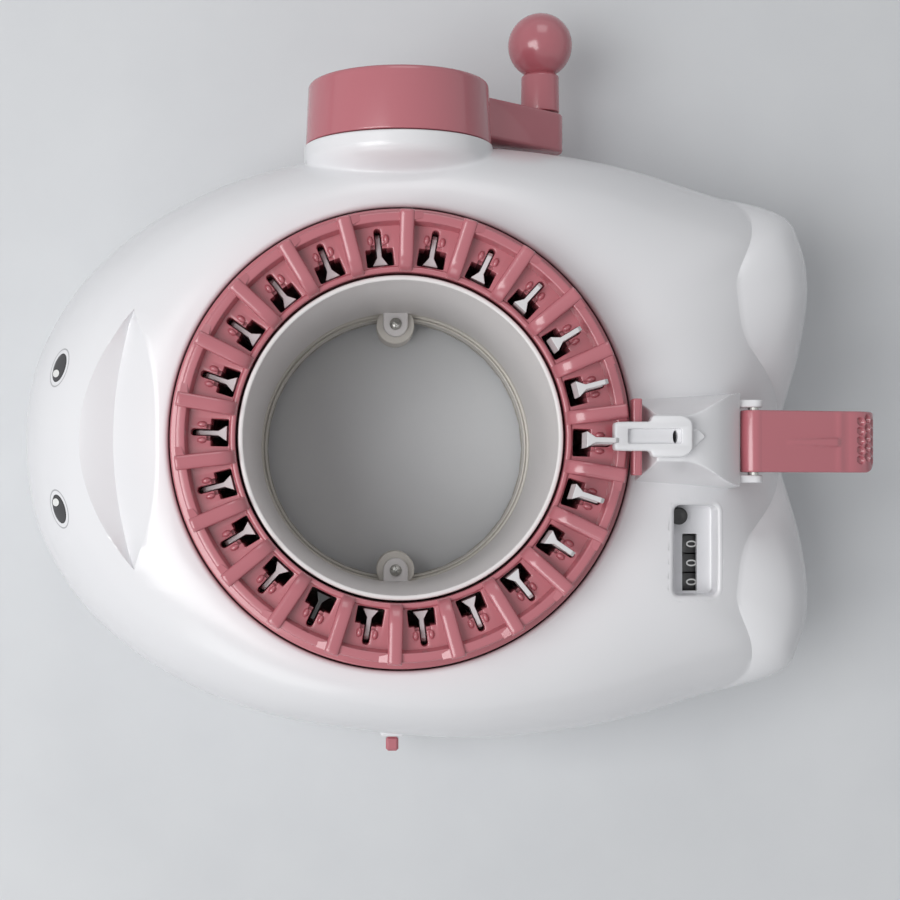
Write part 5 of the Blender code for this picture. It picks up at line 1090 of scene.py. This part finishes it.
# %% Counter tray
TRAY_FLOOR, WINDOW_LOW = 79.0, 77.0
WHEEL_X, WHEEL_Y, WHEEL_R, WHEEL_STEP = 83.7, -35.2, 6.6, 5.5
WHEEL_Z = WINDOW_LOW - math.sqrt(WHEEL_R ** 2 - 1.8 ** 2)


def rounded_rectangle(middle, half, corner, steps=8):
    """Anticlockwise outline of a rectangle whose corners are quarter circles."""
    return np.concatenate([
        arc(corner, quarter(steps) + k * pi / 2,
            (middle[0] + sx * (half[0] - corner), middle[1] + sy * (half[1] - corner)))
        for k, (sx, sy) in enumerate(((1, 1), (-1, 1), (-1, -1), (1, -1)))])


def dense_loop(outline):
    """Closed outline with a point for each mm, so that long sides can follow the dome."""
    pieces = []
    for a, b in zip(outline, np.roll(outline, -1, 0)):
        count = max(1, int(np.linalg.norm(b - a)))
        pieces.append(a + (b - a) * np.linspace(0, 1, count, endpoint=False)[:, None])
    return np.concatenate(pieces)


tray_line = dense_loop(rounded_rectangle(COUNTER_MIDDLE, COUNTER_HALF, COUNTER_CORNER))
tray = []
for out, fall in [(1.6, 0.25), (1.45, 0.0)] + [
        (WINDOW_FILLET * (1 - math.sin(a)), WINDOW_FILLET * (1 - math.cos(a)))
        for a in quarter(7)]:
    loop = offset_loop(tray_line, out)
    tray.append(np.c_[loop, body_height(*loop.T) + 0.03 - fall])
tray = np.stack([*tray, *layers(tray_line, [(0, TRAY_FLOOR + 0.8), (-0.2, TRAY_FLOOR + 0.25),
                                            (-0.8, TRAY_FLOOR)])])
digit_line = rounded_rectangle((WHEEL_X, WHEEL_Y), (2.1, 8.45), 0.3, 4)
digit_wall = rounded_hole(digit_line, TRAY_FLOOR, WINDOW_LOW, 0.15)
make_piece("counter_tray", joined(
    [sheet(tray), sheet(digit_wall)],
    [face_with_hole(tray[-1, :, :2], digit_wall, TRAY_FLOOR)]),
    WHITE_ABS, "frame", ["counter_housing"], check=False)

# %% [markdown]
# ## Number wheels and reset button
# Each wheel is black with the numbers 0 to 9 printed round it. A flat number is a curve made
# into a mesh and then wrapped: its height becomes an angle round the wheel's axis. The ink is
# a few hundredths of a millimetre thick, so it stands just clear of the wheel.

# %% Number wheels and reset button
INK_THICK = 0.03
NUMBER_SIZE = 4.4
WHEEL_HALF, WHEEL_BORE = 2.6, 1.7
NUMBER_STEP, NUMBER_START = radians(36), radians(9)


def number_mesh(digit):
    """Points and faces of one printed number, centred, in mm."""
    curve = bpy.data.curves.new("number", "FONT")
    curve.body = str(digit)
    curve.size = NUMBER_SIZE
    curve.extrude = INK_THICK / 2
    curve.align_x, curve.align_y = "CENTER", "CENTER"
    holder = new_object("number", curve)
    bpy.context.view_layer.update()
    flat = holder.to_mesh()
    spots = np.array([v.co for v in flat.vertices])
    faces = [list(p.vertices) for p in flat.polygons]
    holder.to_mesh_clear()
    bpy.data.objects.remove(holder)
    bpy.data.curves.remove(curve)
    return spots, faces


numbers = [number_mesh(digit) for digit in range(10)]
for place, name in enumerate(("units", "tens", "hundreds")):
    middle = WHEEL_Y + (1 - place) * WHEEL_STEP
    low, high = middle - WHEEL_HALF, middle + WHEEL_HALF
    profile = soften([(WHEEL_BORE, low), (WHEEL_R, low), (WHEEL_R, high), (WHEEL_BORE, high)],
                     0.18, 2)
    make_piece(f"number_wheel_{name}", turned(profile, 90, "Y", (WHEEL_X, 0, WHEEL_Z)), BLACK_ABS,
               f"counter_wheel_{name}_body", [f"counter_wheel_{name}"])
    wrapped = []
    for digit, (spots, faces) in enumerate(numbers):
        angle = digit * NUMBER_STEP + spots[:, 1] / WHEEL_R - NUMBER_START
        reach = WHEEL_R + INK_THICK + spots[:, 2]
        wrapped.append((np.c_[WHEEL_X - reach * np.sin(angle), middle + spots[:, 0],
                              WHEEL_Z + reach * np.cos(angle)], np.zeros((0, 4), int), faces))
    make_piece(f"printed_numbers_{name}", joined(wrapped), WHITE_INK,
               f"counter_wheel_{name}_body", crease=60)

button = turned_solid([(0, 74.6), (1.4, 74.6), (1.4, 80.6), (2.5, 80.6), (2.5, 82.8),
                       (1.5, 82.75), (0, 82.45)], [0, 0.1, 0.1, 0.2, 0.5, 0.6, 0], 4, 48,
                      centre=(80.0, -21.6, 0))
make_piece("reset_button_cap", button, BLACK_ABS, "button_body", ["reset_button"])

# %% [markdown]
# ## Mode switch, screws and cap
# The switch's CAD shapes are right, so they get rounded copies. The two screws that hold the
# tube show their heads inside the bore, so each gets a real cross recess: its height is a
# dome less a cross-shaped pit.

# %% Switch, screws and cap
SWITCH_EDGE = 0.35
HEAD_RADIUS, HEAD_HIGH, HEAD_LOW_Z = 1.9, 1.5, 22.65
rounded_copy("switch_plate", "mode_switch_plate", WHITE_ABS, "frame", SWITCH_EDGE)
rounded_copy("switch_knob", "mode_switch_finger", PINK_ABS, "switch_body", SWITCH_EDGE)


def cross_screw(centre_y):
    """Pan head on a polar grid: z = low + height * sqrt(1 - 0.75 s^2) less the cross pit."""
    share = np.r_[np.linspace(0, 0.72, 22), 0.8, 0.88, 0.94, 0.98, 1.0, 1.0][:, None]
    reach = share * HEAD_RADIUS
    x, y = reach * np.cos(circle(96)), reach * np.sin(circle(96))
    arm = np.minimum(np.abs(x), np.abs(y))
    pit = (np.clip((0.24 - arm) / 0.08, 0, 1)
           * np.clip((0.66 * HEAD_RADIUS - np.hypot(x, y)) / 0.1, 0, 1))
    z = HEAD_LOW_Z + HEAD_HIGH * np.sqrt(1 - 0.75 * share ** 2) - 0.65 * pit
    z[-1] = HEAD_LOW_Z - 0.3
    return sheet(grid_of(x, centre_y + y, z))


for index, side in enumerate(SIDES, 1):
    shank = turned_solid([(0, 13.6), (1.3, 13.6), (1.3, 22.8), (0, 22.8)], [0, 0.3, 0.1, 0], 2,
                         32, centre=(0, side * SCREW_Y, 0))
    make_piece(f"tube_screw_head_{index}",
               joined([cross_screw(side * SCREW_Y), shank]), STEEL, "frame",
               [f"tube_screw_{index}"], crease=50)
cap = turned_solid([(0, 103.35), (5.0, 103.35), (5.0, 104.2), (3.6, 104.85), (0, 104.95)],
                   [0, 0.1, 0.5, 0.9, 0], 4, 72, "Y", (0, 0, CRANK_Z))
make_piece("crank_centre_cap", cap, STEEL, "crank_body", ["crank_cap"])

# %% [markdown]
# ## Printed eyes
# Each eye is a dark printed oval with a pale highlight, inside a fine grey outline. An ink
# film is a disc of points laid on the body's own height, raised by a few hundredths of a
# millimetre, and its rim dips into the body so that the film has no open edge.

# %% Eyes
EYE_X = -97.4


def ink_oval(middle, half, lean, lift, hole=0.0, rings=10):
    """Oval film: middle + s * (a cos t, b sin t) turned by `lean`, on the body's height."""
    share = np.r_[hole - 0.02 if hole else 0.0, np.linspace(hole, 1, rings), 1.02][:, None]
    u, v = share * half[0] * np.cos(circle(72)), share * half[1] * np.sin(circle(72))
    c, s = math.cos(lean), math.sin(lean)
    x, y = middle[0] + c * u - s * v, middle[1] + s * u + c * v
    lifts = np.full_like(share, lift)
    lifts[[0, -1] if hole else [-1]] = -0.2
    return sheet(grid_of(x, y, body_height(x, y) + lifts))


for name, eye_y, lean, glint_y in (("far", 20.9, radians(-18), -1.6),
                                   ("near", -19.6, radians(16), 1.9)):
    eye, spot = (EYE_X, eye_y), (EYE_X - 1.1, eye_y + glint_y)
    for part, film, ink in (
            ("edge", ink_oval(eye, (2.05, 4.25), lean, 0.04), BLACK_INK),
            ("pupil", ink_oval(eye, (1.8, 4.0), lean, 0.06), DARK_INK),
            ("glint_edge", ink_oval(spot, (1.35, 1.35), 0, 0.08), BLACK_INK),
            ("glint", ink_oval(spot, (1.12, 1.12), 0, 0.10), WHITE_INK),
            ("outline", ink_oval(eye, (2.85, 5.8), lean, 0.03, 0.93, 3), GREY_INK)):
        make_piece(f"eye_{part}_{name}", film, ink, "frame")

# %% [markdown]
# ## Pieces kept from the CAD model
# The drive inside, the pins, the bottom plate and the feet have the right shape already, so
# they only get their materials. Gears that run dry against ABS are natural acetal, and pins,
# shafts and base screws are the same plated steel as the tube's screws.

# %% Kept pieces
kept = {
    GREY_PLATE: ["bottom_plate"],
    NATURAL_ACETAL: ["cam_ring", "crown_gear", "drive_pinion", "shaft_bush"],
    STEEL: ["base_screw_1", "base_screw_2", "base_screw_3", "crank_shaft", "knob_pin", "arm_pin",
            "counter_axle"],
    RUBBER: [f"rubber_foot_{corner}" for corner in (1, 2, 3, 4)],
}
for material, nodes in kept.items():
    for node in nodes:
        for holder in bpy.data.objects[node].material_slots:
            holder.material = material
    print(material.name, "on", len(nodes), "kept pieces")
